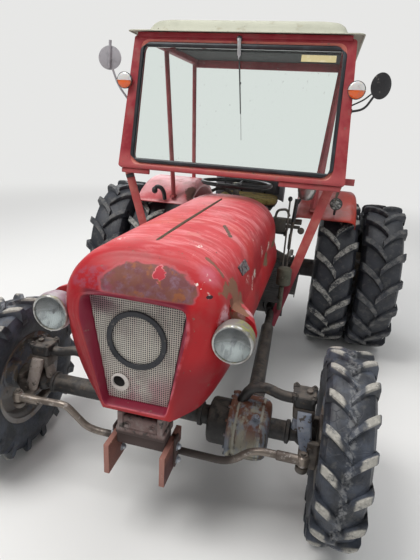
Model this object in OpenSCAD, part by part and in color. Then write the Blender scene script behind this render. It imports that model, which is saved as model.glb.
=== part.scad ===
// Vintage narrow tractor with a rounded hood, an open cab and twin rear wheels.
// The front points along -Y, the tractor's left side lies on +X, and the ground is Z = 0.

/* [Wheels] */
// distance between the front and rear axle centres
wheelbase = 1860; // [1600:5:2100]
// front tyre radius to the tips of its lugs
front_tyre_r = 388; // [340:1:430]
// front tyre width
front_tyre_w = 186; // [140:2:220]
// front tyre centre from the middle of the tractor
front_track_x = 756; // [720:1:800]
// front rim radius where the tyre sits
front_bead_r = 203; // [190:1:215]
// lugs on each side of a front tyre
front_lugs = 18; // [16:1:26]
// height of a front lug over the tread
front_lug_depth = 24; // [15:1:28]
// rear tyre radius to the tips of its lugs
rear_tyre_r = 543; // [500:1:580]
// rear tyre width
rear_tyre_w = 276; // [220:2:280]
// inner rear tyre centre from the middle
rear_inner_x = 702; // [690:1:720]
// outer twin tyre centre from the middle
rear_twin_x = 1007; // [992:1:1040]
// rear rim radius where the tyre sits
rear_bead_r = 305; // [290:1:320]
// lugs on each side of a rear tyre
rear_lugs = 17; // [14:1:24]
// height of a rear lug over the tread
rear_lug_depth = 28; // [18:1:34]

/* [Hood] */
// half width of the hood at its rear edge
hood_half_w = 308; // [280:1:330]
// height of the hood's crest
hood_top_z = 1180; // [1140:1:1220]
// rear edge of the hood ahead of the rear axle
hood_rear_y = -773; // [-800:1:-740]
// front face of the nose ahead of the rear axle
nose_y = -2190; // [-2200:1:-2170]
// lower lip of the nose
nose_low_z = 562; // [550:1:590]
// thickness of the sheet metal
sheet = 4; // [3:0.5:6]
// radius of the headlamp rims
lamp_r = 74; // [60:1:85]
// headlamp centre from the middle
lamp_x = 332; // [320:1:345]
// headlamp centre height
lamp_z = 910; // [890:1:930]

/* [Cab] */
// half width of the windscreen panel at its lower edge
panel_low_w = 654; // [630:1:670]
// half width of the windscreen panel at its upper edge
panel_top_w = 607; // [590:1:625]
// lower edge of the windscreen panel, ahead of the rear axle
panel_y = -940; // [-960:1:-920]
// height of the windscreen panel's lower edge
panel_z = 1305; // [1290:1:1320]
// length of the windscreen panel along its slope
panel_l = 745; // [720:1:760]
// lean of the windscreen panel, top to the rear
panel_lean = 11.2; // [8:0.1:14]
// half width of the roof
roof_half_w = 650; // [630:1:670]
// underside of the roof's flange
roof_z = 2050; // [2030:1:2070]
// front edge of the roof
roof_front_y = -830; // [-850:1:-815]
// rear edge of the roof
roof_rear_y = 320; // [250:5:400]

/* [Fenders] */
// outer radius of the fenders about the rear axle
fender_r = 618; // [605:1:640]
// inner edge of the fenders from the middle
fender_in_x = 380; // [360:1:420]
// outer edge of the fenders from the middle
fender_out_x = 800; // [770:1:820]

/* [Steering] */
// kingpin distance from the middle
kingpin_x = 616; // [610:1:620]
// tie rod eyes ahead of the front axle
tie_arm = 180; // [176:1:186]
// height of the tie rod eyes
tie_z = 410; // [406:1:414]

/* [Hitch] */
// front pin of the lower links, behind the rear axle
link_pin_y = 205; // [200:1:220]
// height of the lower links' front pins
link_pin_z = 400; // [380:1:420]
// distance from the pins to the lower links' balls
link_l = 700; // [650:5:750]
// distance along the link to the lift rod's pin
lift_pin_l = 380; // [350:5:420]
// height of the lift arms' shaft over the link pins
lift_h = 360; // [340:5:400]

/* [Hidden] */
$fn = 64;
eps = 0.05;
front_reach = wheelbase + front_tyre_r;
rear_reach = link_pin_y + link_l + 30;
axle_y = (front_reach - rear_reach) / 2;
front_axle_y = -wheelbase;
front_z = front_tyre_r;
rear_z = rear_tyre_r;
pin_gap = 0.6;
move_gap = 6;
seat = 0.2;
cut_fn = 180;

red = [0.72, 0.16, 0.16];
black = [0.08, 0.08, 0.09];
steel = [0.45, 0.46, 0.48];
grease = [0.16, 0.15, 0.15];
cream = [0.85, 0.83, 0.75];
grey = [0.55, 0.56, 0.6];

// Places everything from the rear axle's frame to the part's own origin.
module from_rear_axle() {
    translate([0, axle_y, 0]) children();
}

// Makes its children on both sides of the tractor.
module both_sides() {
    for (side = [0, 1]) mirror([side, 0, 0]) children();
}

// Makes its children on the left side, or mirrored on the right side.
module on_side(left) {
    mirror([left ? 0 : 1, 0, 0]) children();
}

// A round bar from point a to point b.
module rod(a, b, r) {
    v = b - a;
    l = norm(v);
    translate(a) rotate([0, acos(v.z / l), atan2(v.y, v.x)]) cylinder(h = l, r = r);
}

// A round lever from point a to a ball of radius knob at point b.
module lever(a, b, r, knob) {
    v = b - a;
    l = norm(v);
    translate(a) rotate([0, acos(v.z / l), atan2(v.y, v.x)]) rotate_extrude() {
        square([r, l]);
        intersection() {
            translate([0, l]) circle(r = knob);
            translate([0, l - knob]) square([knob, 2 * knob]);
        }
    }
}

// A flat bar from point a to point b, w wide, t thick, turned about its length.
module bar(a, b, w, t, turn = 0) {
    v = b - a;
    l = norm(v);
    translate(a) rotate([0, acos(v.z / l), atan2(v.y, v.x)]) rotate([0, 0, turn])
        translate([-t / 2, -w / 2, 0]) cube([t, w, l]);
}

// A round bar through a list of points, with balls at its bends.
module bent_rod(points, r) {
    for (i = [1 : len(points) - 1]) rod(points[i - 1], points[i], r);
    for (i = [1 : len(points) - 2]) translate(points[i]) sphere(r = r * 1.005, $fn = 32);
}

// A cylinder along X, centred at c.
module x_disc(c, r, l, fn = 64) {
    translate(c) rotate([0, 90, 0]) cylinder(h = l, r = r, center = true, $fn = fn);
}

// A box between two corners.
module box(low, high) {
    translate(low) cube(high - low);
}

// Boxes on both sides of the middle from a table: half width, front, rear, low, high.
module middle_boxes(table) {
    for (b = table) box([-b[0], b[1], b[3]], [b[0], b[2], b[4]]);
}

// A rectangle with round corners, centred.
module round_rect(w, h, r) {
    square([w - 2 * r, h], center = true);
    square([w, h - 2 * r], center = true);
    for (x = [-1, 1], y = [-1, 1]) translate([x * (w / 2 - r), y * (h / 2 - r)]) circle(r = r);
}

// Turns a profile drawn as (radius, sideways) about the X axis.
module x_revolve(angle = 360, start = 0) {
    rotate([0, 90, 0]) rotate([0, 0, start]) rotate_extrude(angle = angle, $fn = 96) children();
}

// Hood: sections from the nose to the rear edge
// columns: y, half width, crest height, height of the widest level, half width at the edge, edge height
hood_sections = [
    [nose_y, 234, 1050, 945, 126, nose_low_z + 14],
    [nose_y + 5, 250, 1068, 940, 132, nose_low_z + 10],
    [nose_y + 18, 266, 1096, 935, 144, nose_low_z + 10],
    [nose_y + 45, 284, 1130, 930, 172, nose_low_z + 18],
    [nose_y + 90, 298, 1160, 925, 220, nose_low_z + 40],
    [nose_y + 160, 303, 1180, 920, 254, nose_low_z + 72],
    [nose_y + 280, 305, 1186, 918, 278, nose_low_z + 100],
    [nose_y + 480, 305, 1186, 918, 292, nose_low_z + 120],
    [(nose_y + hood_rear_y) / 2, 305, hood_top_z + 5, 918, 298, nose_low_z + 132],
    [hood_rear_y, hood_half_w, hood_top_z, 918, hood_half_w - 5, nose_low_z + 142]
];
// how far the sides bulge halfway between the widest level and the lower edge
belly = 24;
crown_steps = 24;
crown_power = 2 / 2.7;

// Halfway point of a section's side, as [x, z].
function side_middle(s) =
    [(s[1] + s[4]) / 2 + belly * min(1, 0.1 + (s[0] - nose_y) / 66), (s[3] + s[5]) / 2];

// Lower end of a section's side, as [x, z], with the side drawn on by drop.
function side_end(s, drop) =
    let (m = side_middle(s)) [s[4] - drop * (m[0] - s[4]) / (m[1] - s[5]), s[5] - drop];

// One hood section as a loop of points, made smaller by t all round.
function crown(s, t, drop) =
    let (m = side_middle(s), e = side_end(s, drop))
    concat(
        [[e[0] - t, s[0], e[1]], [m[0] - t, s[0], m[1]]],
        [for (i = [0 : crown_steps])
            let (a = 180 * i / crown_steps, c = cos(a), up = sin(a))
            [sign(c) * (s[1] - t) * pow(abs(c), crown_power), s[0],
                s[3] + (s[2] - t - s[3]) * pow(up, crown_power)]],
        [[-m[0] + t, s[0], m[1]], [-e[0] + t, s[0], e[1]]]
    );

// A closed skin over a row of loops that all have the same number of points.
module skin(loops) {
    n = len(loops[0]);
    last = len(loops) - 1;
    sides = [for (i = [0 : last - 1], j = [0 : n - 1])
        let (k = (j + 1) % n)
        [i * n + j, i * n + k, (i + 1) * n + k, (i + 1) * n + j]];
    caps = [[for (j = [n - 1 : -1 : 0]) j], [for (j = [0 : n - 1]) last * n + j]];
    polyhedron(points = [for (l = loops) each l], faces = concat(sides, caps), convexity = 6);
}

// Grille opening: half widths and heights of its upper and lower edges
grille_top_w = 175;
grille_top_z = 1018;
grille_low_w = 114;
grille_low_z = 608;
grille_round = 22;

// The grille's outline, grown by g, seen from the front.
module grille_shape(g = 0) {
    r = grille_round;
    w1 = grille_low_w + g - r;
    w2 = grille_top_w + g - r;
    z1 = grille_low_z - g + r;
    z2 = grille_top_z + g - r;
    polygon([[-w1, z1 - r], [w1, z1 - r], [w1 + r, z1], [w2 + r, z2], [w2, z2 + r],
        [-w2, z2 + r], [-w2 - r, z2], [-w1 - r, z1]]);
    for (x = [-1, 1]) {
        translate([x * w1, z1]) circle(r = r);
        translate([x * w2, z2]) circle(r = r);
    }
}

// Stretches a front view along Y, from y to y + depth.
module from_front(y, depth) {
    translate([0, y + depth, 0]) rotate([90, 0, 0]) linear_extrude(depth) children();
}

// Hood hinge: pins on the dash, just inside the hood's rear edge
hinge_y = hood_rear_y - 25;
hinge_z = hood_top_z - 28;

// Headlamps
lamp_y = nose_y + 32;
bowl_l = 50;
// how far the hood is cut away before the lamps' rims
lamp_clear = 8;

// The rounded ridge round the grille as steps: how far it is grown, how far it stands out.
frame_steps = [[16, 5], [10, 9]];

module hood() {
    frame_depth = 34;
    color(red) from_rear_axle() {
        difference() {
            skin([for (s = hood_sections) crown(s, 0, 0)]);
            skin([for (s = hood_sections)
                crown([s[0] + (s[0] < nose_y + 100 ? sheet : (s[0] == hood_rear_y ? 1 : 0)),
                    s[1], s[2], s[3], s[4], s[5]], sheet, 2 * sheet + 40)]);
            from_front(nose_y - 1, 60) grille_shape();
            both_sides() translate([lamp_x, lamp_y - lamp_clear, lamp_z]) rotate([-90, 0, 0])
                cylinder(h = lamp_clear + bowl_l + seat, r = lamp_r + seat);
        }
        for (step = frame_steps) difference() {
            from_front(nose_y - step[1], step[1] + 1) grille_shape(step[0]);
            from_front(nose_y - step[1] - 1, step[1] + 3) grille_shape();
        }
        difference() {
            from_front(nose_y + sheet - eps, frame_depth) grille_shape(sheet);
            from_front(nose_y, frame_depth + sheet + 1) grille_shape();
        }
        both_sides() {
            difference() {
                union() {
                    box([140, hinge_y - 12, hinge_z], [152, hinge_y + 12, hinge_z + 13]);
                    x_disc([146, hinge_y, hinge_z], 12, 12);
                }
                x_disc([146, hinge_y, hinge_z], 6 + pin_gap, 20);
            }
            difference() {
                hull() {
                    translate([lamp_x, lamp_y + bowl_l + seat, lamp_z]) rotate([-90, 0, 0])
                        cylinder(h = 3, r = lamp_r - 9, $fn = 32);
                    translate([lamp_x - 44, lamp_y + 300, lamp_z + 10]) rotate([-90, 0, 0])
                        cylinder(h = 4, r = 24, $fn = 32);
                }
                skin([for (s = hood_sections) crown(s, 2, 60)]);
            }
        }
    }
}

grille_y = nose_y + 26;
crank_x = -73;
crank_z = 686;
crank_r = 26;

module grille_mesh() {
    color(cream) from_rear_axle() {
        difference() {
            from_front(grille_y, 3) grille_shape(-seat);
            translate([crank_x, grille_y - 1, crank_z]) rotate([-90, 0, 0]) cylinder(h = 5, r = crank_r);
        }
        translate([crank_x, grille_y - 6, crank_z]) rotate([-90, 0, 0]) difference() {
            cylinder(h = 9, r = crank_r + 7);
            translate([0, 0, -1]) cylinder(h = 11, r = crank_r);
        }
    }
}

ring_r = 112;
ring_x = -5;
ring_z = 863;

module grille_ring() {
    color(black) from_rear_axle() translate([ring_x, grille_y - 9, ring_z]) rotate([-90, 0, 0])
        difference() {
            cylinder(h = 9, r = ring_r);
            translate([0, 0, -1]) cylinder(h = 11, r = ring_r - 17);
        }
}

module headlamp_bowls() {
    color(red) from_rear_axle() both_sides()
        translate([lamp_x, lamp_y, lamp_z]) rotate([-90, 0, 0]) rotate_extrude() {
            translate([lamp_r - 8, 0]) square([8, 14]);
            polygon([[0, 26], [lamp_r - 8, 26], [lamp_r - 8, 0], [lamp_r - 3, 0], [lamp_r - 3, 20],
                [lamp_r - 8, bowl_l], [0, bowl_l]]);
        }
}

module headlamp_lenses() {
    color([0.85, 0.88, 0.9]) from_rear_axle() both_sides()
        translate([lamp_x, lamp_y - 2, lamp_z]) rotate([-90, 0, 0]) {
            cylinder(h = 24, r = lamp_r - 8.2);
        }
}

// Engine, gearbox and frame
engine_front_y = -1640;
engine_rear_y = -1000;
engine_half_w = 150;
sump_z = 420;
block_z = 478;
deck_z = 830;
head_z = 940;
cover_z = 1040;
fan_z = 900;
fan_r = 190;
// Block, pan flange, pan, head, valve cover and timing cover.
engine_boxes = [
    [engine_half_w, engine_front_y, engine_rear_y, block_z - eps, deck_z],
    [engine_half_w + 8, engine_front_y + 10, engine_rear_y - 10, block_z - 12, block_z],
    [engine_half_w - 30, engine_front_y + 22, engine_rear_y - 30, sump_z, block_z],
    [engine_half_w - 36, engine_front_y + 40, engine_rear_y - 80, deck_z - eps, head_z],
    [engine_half_w - 70, engine_front_y + 60, engine_rear_y - 100, head_z - eps, cover_z],
    [engine_half_w - 35, engine_front_y - 30, engine_front_y + eps, block_z + 82, deck_z + 20]
];

module engine_block() {
    side = engine_half_w - eps;
    color(grease) from_rear_axle() {
        middle_boxes(engine_boxes);
        // injection pump with its three delivery stubs, on the left
        box([side, -1430, 640], [side + 62, -1200, 725]);
        for (y = [-1390, -1330, -1270]) translate([side + 30, y, 725 - eps]) cylinder(h = 34, r = 12);
        // two fuel filters under their shared head
        box([side - 40, -1150, 850], [side + 92, -1010, 876]);
        for (y = [-1118, -1044]) translate([side + 50, y, 742]) cylinder(h = 108 + eps, r = 36);
        // dynamo along the left side
        translate([side + 40, -1470, 560]) rotate([-90, 0, 0]) cylinder(h = 210, r = 52);
        // manifold with its three ports, on the right
        box([-side - 58, -1540, 800], [-side - 8, -1160, 858]);
        for (y = [-1500, -1350, -1200]) box([-side - 10, y - 22, 806], [-side, y + 22, 850]);
        // fan before the timing cover
        translate([0, engine_front_y - 120, fan_z]) rotate([-90, 0, 0]) cylinder(h = 165, r = 24);
        translate([0, engine_front_y - 74, fan_z]) rotate([-90, 0, 0]) cylinder(h = 24, r = 62);
        translate([0, engine_front_y - 60, 620]) rotate([-90, 0, 0]) cylinder(h = 60, r = 74);
        for (a = [0 : 90 : 270])
            translate([0, engine_front_y - 112, fan_z]) rotate([0, a + 20, 0])
                box([14, -3, -32], [fan_r, 3, 32]);
    }
}

// Core and foot.
radiator_boxes = [
    [150, nose_y + 80, nose_y + 150, 640, 1060],
    [60, nose_y + 90, nose_y + 140, 470 + seat, 640 + eps]
];

module radiator() {
    color(black) from_rear_axle() middle_boxes(radiator_boxes);
}
bell_rear_y = -940;
housing_front_y = -190;
gearbox_top_z = 720;
case_half_w = 130;
rib_half_w = 138;
// Bell housing, case, top cover and three ribs round the case.
gearbox_boxes = [
    [engine_half_w, engine_rear_y + seat, bell_rear_y, 410, 790],
    [case_half_w, bell_rear_y - eps, housing_front_y, 400, gearbox_top_z - 20],
    [100, -880, -300, gearbox_top_z - 20 - eps, gearbox_top_z],
    [rib_half_w, -829, -811, 420, 680],
    [rib_half_w, -649, -631, 420, 680],
    [rib_half_w, -469, -451, 420, 680]
];
// The side drive's casing, where the shaft to the front axle comes out.
side_drive = [320, -690, 455];
side_drive_l = 130;
module gearbox_housing() {
    color(grease) from_rear_axle() {
        middle_boxes(gearbox_boxes);
        box([case_half_w - eps, side_drive.y, 400], [300, side_drive.y + side_drive_l, 510]);
        translate(side_drive) rotate([-90, 0, 0]) cylinder(h = side_drive_l, r = 62);
    }
}
axle_tube_r = 92;

module rear_axle_housing() {
    color(grease) from_rear_axle() {
        middle_boxes([[170, housing_front_y + seat, 170, 360, 770]]);
        both_sides() {
            rod([160, 0, rear_z], [610, 0, rear_z], axle_tube_r);
            translate([170 - eps, 0, rear_z]) rotate([0, 90, 0])
                cylinder(h = 190, r1 = axle_tube_r + 50, r2 = axle_tube_r - 1);
            x_disc([400, 0, rear_z], axle_tube_r + 14, 16);
            x_disc([640, 0, rear_z], 150, 60);
            x_disc([700, 0, rear_z], 40, 70);
        }
    }
}
frame_half_w = 92;

module front_frame() {
    color(grease) from_rear_axle() {
        both_sides() {
            box([70, -2150, 300], [frame_half_w, -2062, 470]);
            box([70, -2150, 455], [frame_half_w, -1640 - seat, 540]);
            box([70, -1800, 330], [frame_half_w, -1640 - seat, 456]);
        }
        box([-frame_half_w, -2150, 440], [frame_half_w, -2040, 470]);
        box([-frame_half_w, -1920, 500], [frame_half_w, -1800, 540]);
        box([-frame_half_w, -1660, 420], [frame_half_w, -1640 - seat, 540]);
    }
}

plate_in_x = 102;
plate_t = 22;

module front_plates() {
    color([0.35, 0.2, 0.17]) from_rear_axle() both_sides() {
        box([plate_in_x, -2205, 283], [plate_in_x + plate_t, -2060, 417]);
        for (z = [318, 382]) x_disc([plate_in_x + 12, -2085, z], 9, 43);
        box([frame_half_w + seat, -2120, 300], [plate_in_x + eps, -2070, 400]);
    }
}

// Windscreen: everything on its sloping plane is drawn from its lower edge's middle
module on_panel() {
    translate([0, panel_y, panel_z]) rotate([-panel_lean, 0, 0]) children();
}

seal_low_w = 570;
seal_top_w = 553;
seal_low_z = 42;
seal_top_z = 704;
seal_round = 46;

// The windscreen opening's outline, grown by g.
module screen_shape(g = 0) {
    r = seal_round + g;
    for (x = [-1, 1]) {
        translate([x * (seal_low_w - seal_round), seal_low_z + seal_round]) circle(r = r);
        translate([x * (seal_top_w - seal_round), seal_top_z - seal_round]) circle(r = r);
    }
    w1 = seal_low_w - seal_round;
    w2 = seal_top_w - seal_round;
    z1 = seal_low_z + seal_round;
    z2 = seal_top_z - seal_round;
    polygon([[-w1, z1 - r], [w1, z1 - r], [w1 + r, z1], [w2 + r, z2], [w2, z2 + r],
        [-w2, z2 + r], [-w2 - r, z2], [-w1 - r, z1]]);
}

panel_t = 42;

module windscreen_panel() {
    color(red) from_rear_axle() on_panel() difference() {
        from_front(0, panel_t) polygon([[-panel_low_w, 0], [panel_low_w, 0],
            [panel_top_w, panel_l], [-panel_top_w, panel_l]]);
        from_front(-1, panel_t + 2) screen_shape();
    }
}

module windscreen_seal() {
    color(black) from_rear_axle() on_panel() difference() {
        from_front(-6, panel_t) screen_shape(-0.05);
        from_front(-7, panel_t + 2) screen_shape(-20);
    }
}

module windscreen_glass() {
    color([0.7, 0.8, 0.8, 0.4]) from_rear_axle() on_panel()
        from_front(12, 6) screen_shape(-20 - seat);
}

post_low = [500, -360, 1020];
post_top = [566, -400, 2012];
rear_post_low = [530, 250, 1060];
rear_post_top = [566, 250, 2010];

module cab_posts() {
    color(red) from_rear_axle() {
        both_sides() difference() {
            union() {
                bar(post_low, post_top, 38, 26);
                rod(rear_post_low, rear_post_top, 16);
                box([545, -775, 2005], [587, roof_rear_y - 20, roof_z - seat]);
            }
            x_disc([550, 0, rear_z], fender_r + 3 * seat, 300, cut_fn);
            on_panel() box([500, -60, 600], [700, panel_t + seat, 800]);
        }
        box([-587, roof_rear_y - 50, 1990], [587, roof_rear_y - 20, roof_z - seat]);
        on_panel() rod([-640, panel_t / 2, -13 - seat], [640, panel_t / 2, -13 - seat], 13);
    }
}

strut_top = [612, -872, 1317];
strut_low = [384, -800, 440];
// turns the flat of the struts square to the tractor
strut_turn = -18;

module cab_struts() {
    color(red) from_rear_axle() both_sides() {
        bar(strut_top, strut_low, 8, 44, strut_turn);
        on_panel() box([604, panel_t + seat, 10], [620, panel_t + 30, 40]);
    }
}

// The roof's raised middle as rings: how far in from the roof's edge, how high over it, its round.
dome_rings = [
    [80, 3, 40],
    [94, 14, 50],
    [112, 36, 60],
    [136, 58, 70],
    [176, 76, 90],
    [240, 88, 120]
];
corner_steps = 6;
// One ring of it with its sides in by t.
function dome_ring(ring, t) =
    let (in = ring[0] + t, r = ring[2],
        x = roof_half_w - in - r,
        y1 = roof_front_y + in + r - 20,
        y2 = roof_rear_y - in - r)
    [for (corner = [[x, y2, 0], [-x, y2, 90], [-x, y1, 180], [x, y1, 270]],
            i = [0 : corner_steps])
        let (a = corner[2] + 90 * i / corner_steps)
        [corner[0] + r * cos(a), corner[1] + r * sin(a), roof_z + max(ring[1] - t, t > 0 ? -1 : 0)]];

module dome(t) {
    loops = [for (ring = dome_rings) dome_ring(ring, t)];
    skin([for (i = [len(loops) - 1 : -1 : 0]) loops[i]]);
}

module cab_roof() {
    color(cream) from_rear_axle() difference() {
        union() {
            box([-roof_half_w, roof_front_y, roof_z], [roof_half_w, roof_rear_y, roof_z + 6]);
            dome(0);
        }
        dome(sheet);
    }
}

module wiper() {
    color(black) from_rear_axle() on_panel() {
        translate([0, -16, panel_l - 16]) rotate([-90, 0, 0]) cylinder(h = 16 - seat, r = 15);
        bar([0, -16, panel_l - 16], [0, -16, panel_l - 120], 6, 9, 90);
        bar([0, -16, panel_l - 118], [6, -4, panel_l - 400], 5, 7, 90);
    }
}

lamp_side_x = 645;
lamp_side_y = -886;
lamp_side_z = 1788;

module indicator_lamps() {
    color([0.9, 0.45, 0.1]) from_rear_axle() both_sides()
        translate([lamp_side_x, lamp_side_y, lamp_side_z]) rotate([-90, 0, 0]) {
            cylinder(h = 30, r = 46);
        }
    color([0.9, 0.45, 0.1]) from_rear_axle() both_sides() on_panel()
        box([606, -24, 480], [632, -seat, 506]);
}

module mirrors() {
    foot = [630, 20, 392];
    color(black) from_rear_axle() for (left = [true, false]) on_side(left) {
        z = left ? 1815 : 1905;
        translate([762, -846, z]) rotate([-90, 0, 0]) scale([0.78, 1, 1]) cylinder(h = 16, r = 64);
        on_panel() translate(foot) box([1, -12, -12], [10, 12, 12]);
        rod([636, -844, 1686], [758, -838, z - 20], 7);
    }
}

fender_drop = 62;
fender_round = 55;

// The fender's section as (radius, sideways), t inside its outer face.
module fender_section(t) {
    mid = (fender_in_x + fender_out_x) / 2;
    w = fender_out_x - fender_in_x;
    difference() {
        translate([fender_r - 150, mid]) round_rect(300 - 2 * t, w - 2 * t, fender_round - t);
        translate([0, 0]) square([fender_r - fender_drop - t * 2, 2000]);
    }
}

module fenders() {
    color(red) from_rear_axle() both_sides() translate([0, 0, rear_z]) difference() {
        x_revolve(angle = 92, start = 128) fender_section(0);
        x_revolve(angle = 94, start = 127) fender_section(sheet);
    }
}

module fender_lamps() {
    color(black) from_rear_axle() both_sides() {
        translate([648, -452, 1135]) rotate([-90, 0, 0]) cylinder(h = 32, r = 40);
        difference() {
            rod([648, -425, 1120], [648, -355, 1030], 8);
            x_disc([648, 0, rear_z], fender_r + seat, 60, cut_fn);
        }
    }
}

floor_z = 590;

module footboards() {
    color(black) from_rear_axle() {
        both_sides() {
            box([rib_half_w + seat, -780, floor_z], [470, -300, floor_z + 6]);
            box([engine_half_w + seat, -960, floor_z], [385, -780 + eps, floor_z + 6]);
            // the bracket that carries the strut's foot
            box([366, strut_low.y + 4.4, strut_low.z - 5], [407, strut_low.y + 13, floor_z + eps]);
        }
    }
}

seat_y = 0;
seat_z = 1010;

seat_half_w = 225;
shell_r = 280;
shell_t = 8;
// A wall round the back of the seat between two heights, from radius r1 to r2.
module seat_wall(r1, r2, low, high, spread) {
    translate([0, seat_y - 60, 0]) rotate([0, 0, 90 - spread]) rotate_extrude(angle = 2 * spread)
        translate([r1, low]) square([r2 - r1, high - low]);
}

module seat_frame() {
    color(steel) from_rear_axle() {
        box([-90, seat_y - 60, 770 + seat], [90, seat_y + 150, 800]);
        box([-30, seat_y, 800 - eps], [30, seat_y + 80, seat_z - 14 + eps]);
        box([-200, seat_y - 180, seat_z - 14], [200, seat_y + 212, seat_z]);
        seat_wall(shell_r - shell_t, shell_r, seat_z + 30, seat_z + 225, 76);
        for (x = [-110, 90]) box([x, seat_y + 190, seat_z - 14], [x + 20, seat_y + 198, seat_z + 68]);
    }
}

module seat_cushions() {
    color([0.2, 0.2, 0.22]) from_rear_axle() {
        translate([0, seat_y - 25, seat_z + seat]) linear_extrude(68)
            round_rect(2 * seat_half_w, 330, 90);
        seat_wall(shell_r - shell_t - 45, shell_r - shell_t - seat, seat_z + 72, seat_z + 215, 58);
    }
}

module dash_panel() {
    color(grease) from_rear_axle() {
        box([-240, -764, 720 + seat], [240, -700, 1120]);
        both_sides() {
            box([118, hinge_y - 9, 1110], [134, hinge_y + 9, hinge_z + 8]);
            box([118, hinge_y, 1100], [134, -764 + eps, 1119]);
            x_disc([138, hinge_y, hinge_z], 6, 38);
        }
    }
}

wheel_hub = [0, -560, 1205];
wheel_tilt = -2;
wheel_r = 222;

// Everything on the steering column's axis, with the hub at the origin.
module on_column() {
    translate(wheel_hub) rotate([wheel_tilt, 0, 0]) children();
}

module steering_wheel() {
    color(black) from_rear_axle() on_column() {
        rotate_extrude($fn = 72) translate([wheel_r, 18]) circle(r = 13, $fn = 24);
        for (a = [90, 210, 330]) rotate([0, 0, a])
            rod([20, 0, 0], [wheel_r - 2, 0, 18], 7);
        difference() {
            translate([0, 0, -14]) cylinder(h = 34, r = 30);
            translate([0, 0, -20]) cylinder(h = 30, r = 12 + pin_gap);
        }
    }
}

module controls() {
    color(grease) from_rear_axle() {
        on_column() {
            translate([0, 0, -20]) cylinder(h = 24, r = 12);
            translate([0, 0, -484]) cylinder(h = 464 + eps, r = 20);
        }
        for (x = [60, -60]) {
            lever([x, -420, 722.4], [x * 1.8, -470, 968], 7, 18);
        }
        for (x = [356, 378]) {
            lever([x, -560, floor_z + 7], [x - 8, -500, 1148], 6, 15);
        }
        for (x = [-268, -196, 240]) {
            bar([x, -752, floor_z + 14], [x, -722, 700], 60, 8, 0);
            box([x - 12, -760, floor_z + 6 + seat], [x + 12, -730, floor_z + 22]);
        }
    }
}

// Front axle with its offset drum, and the steering knuckles
drum_r = 134;
drum_z = 372;
// the drum's barrel as (radius, sideways)
drum_profile = [[0, -83], [drum_r - 18, -83], [drum_r - 5, -62], [drum_r, -24], [drum_r, 24],
    [drum_r - 5, 62], [drum_r - 18, 83], [0, 83]];
arm_z = 545;
ball_r = 50;

// The axle tube with its necks and balls as (radius, sideways).
module axle_section() {
    translate([0, -540]) square([42, 1080]);
    translate([0, -590]) square([34, 1180]);
    intersection() {
        for (s = [-1, 1]) translate([0, s * kingpin_x]) circle(r = ball_r);
        translate([0, -800]) square([ball_r + 1, 1600]);
    }
}

module front_axle() {
    color(grease) from_rear_axle() translate([0, front_axle_y, 0]) {
        translate([388, 0, drum_z]) x_revolve() polygon(drum_profile);
        x_disc([260, 0, drum_z], drum_r - 35, 100);
        x_disc([314, 0, drum_z], drum_r + 6, 18);
        translate([0, 0, front_z]) x_revolve() axle_section();
        both_sides() {
            difference() {
                union() {
                    translate([kingpin_x, 0, arm_z]) cylinder(h = 44, r = 34);
                    bar([kingpin_x, 0, arm_z + 22], [430, 0, arm_z + 22], 60, 40);
                    bar([452, 0, arm_z + 22], [318, 0, front_z + 6], 52, 36);
                }
                translate([kingpin_x, 0, arm_z - 1]) cylinder(h = 50, r = 14 + pin_gap);
            }
        }
        box([-60, -38, front_z - 33], [60, 38, 500 - seat]);
    }
}

// The shaft's ends, and how far along the joint's flanges and the thick tube reach.
shaft_front = [383, front_axle_y + 90, 430];
shaft_rear = [326, -680, 455];

module prop_shaft() {
    run = (shaft_rear - shaft_front) / norm(shaft_rear - shaft_front);
    color(grease) from_rear_axle() {
        difference() {
            union() {
                rod(shaft_front, shaft_rear, 24);
                rod(shaft_front, shaft_front + 26 * run, 46);
                rod(shaft_front + 84 * run, shaft_front + 104 * run, 46);
                rod(shaft_front + 104 * run - eps * run, shaft_front + 760 * run, 36);
                x_disc(shaft_front + 55 * run, 18, 84);
                for (x = [-40, 30]) translate(shaft_front + [x, 20, -18]) cube([10, 70, 36]);
            }
            x_disc([388, front_axle_y, drum_z], drum_r + seat, 200, cut_fn);
            translate([side_drive.x, side_drive.y - seat, side_drive.z]) rotate([-90, 0, 0])
                cylinder(h = side_drive_l, r = 80);
        }
    }
}

// A knuckle: head block under the axle's eye, fork legs about the ball, hub wall and spindle.
module knuckle(left) {
    hub_x = 672;
    leg_y = 84;
    color(grey) from_rear_axle() on_side(left) translate([0, front_axle_y, 0]) {
        translate([kingpin_x, 0, arm_z - move_gap - 50]) {
            translate([-32, -42, 0]) cube([64, 84, 50]);
            cylinder(h = 50 + move_gap + 58, r = 14);
            translate([0, 0, 50 + move_gap + 44 + 4]) cylinder(h = 14, r = 26);
        }
        for (s = [-1, 1]) {
            bar([kingpin_x, s * 40, arm_z - 34], [kingpin_x + 4, s * leg_y, front_z - 40], 26, 34, 90);
            box([kingpin_x - 14, s * leg_y - 13, front_z - 88], [hub_x + 4, s * leg_y + 13, front_z + 40]);
        }
        box([kingpin_x - 14, -leg_y, front_z - 92], [kingpin_x + 24, leg_y, front_z - 70]);
        box([hub_x - 2, -leg_y, front_z - 70], [hub_x + 18, leg_y, front_z + 60]);
        x_disc([hub_x + 30, 0, front_z], 60, 32);
        x_disc([hub_x + 74, 0, front_z], 25, 90);
        translate([kingpin_x, -tie_arm, tie_z + 20]) cylinder(h = 16, r = 20);
        translate([kingpin_x, -tie_arm, tie_z - 16]) cylinder(h = 46, r = 9);
        box([kingpin_x - 17, -tie_arm, tie_z + 20], [kingpin_x + 17, -48, tie_z + 36]);
    }
}

module knuckle_left() {
    knuckle(true);
}

module knuckle_right() {
    knuckle(false);
}

// Tyres and rims: profiles are drawn as (radius, sideways) about each wheel's centre
lug_sweep = 42;
front_lug_w = 30;
rear_lug_w = 44;
lug_sink = 10;
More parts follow.
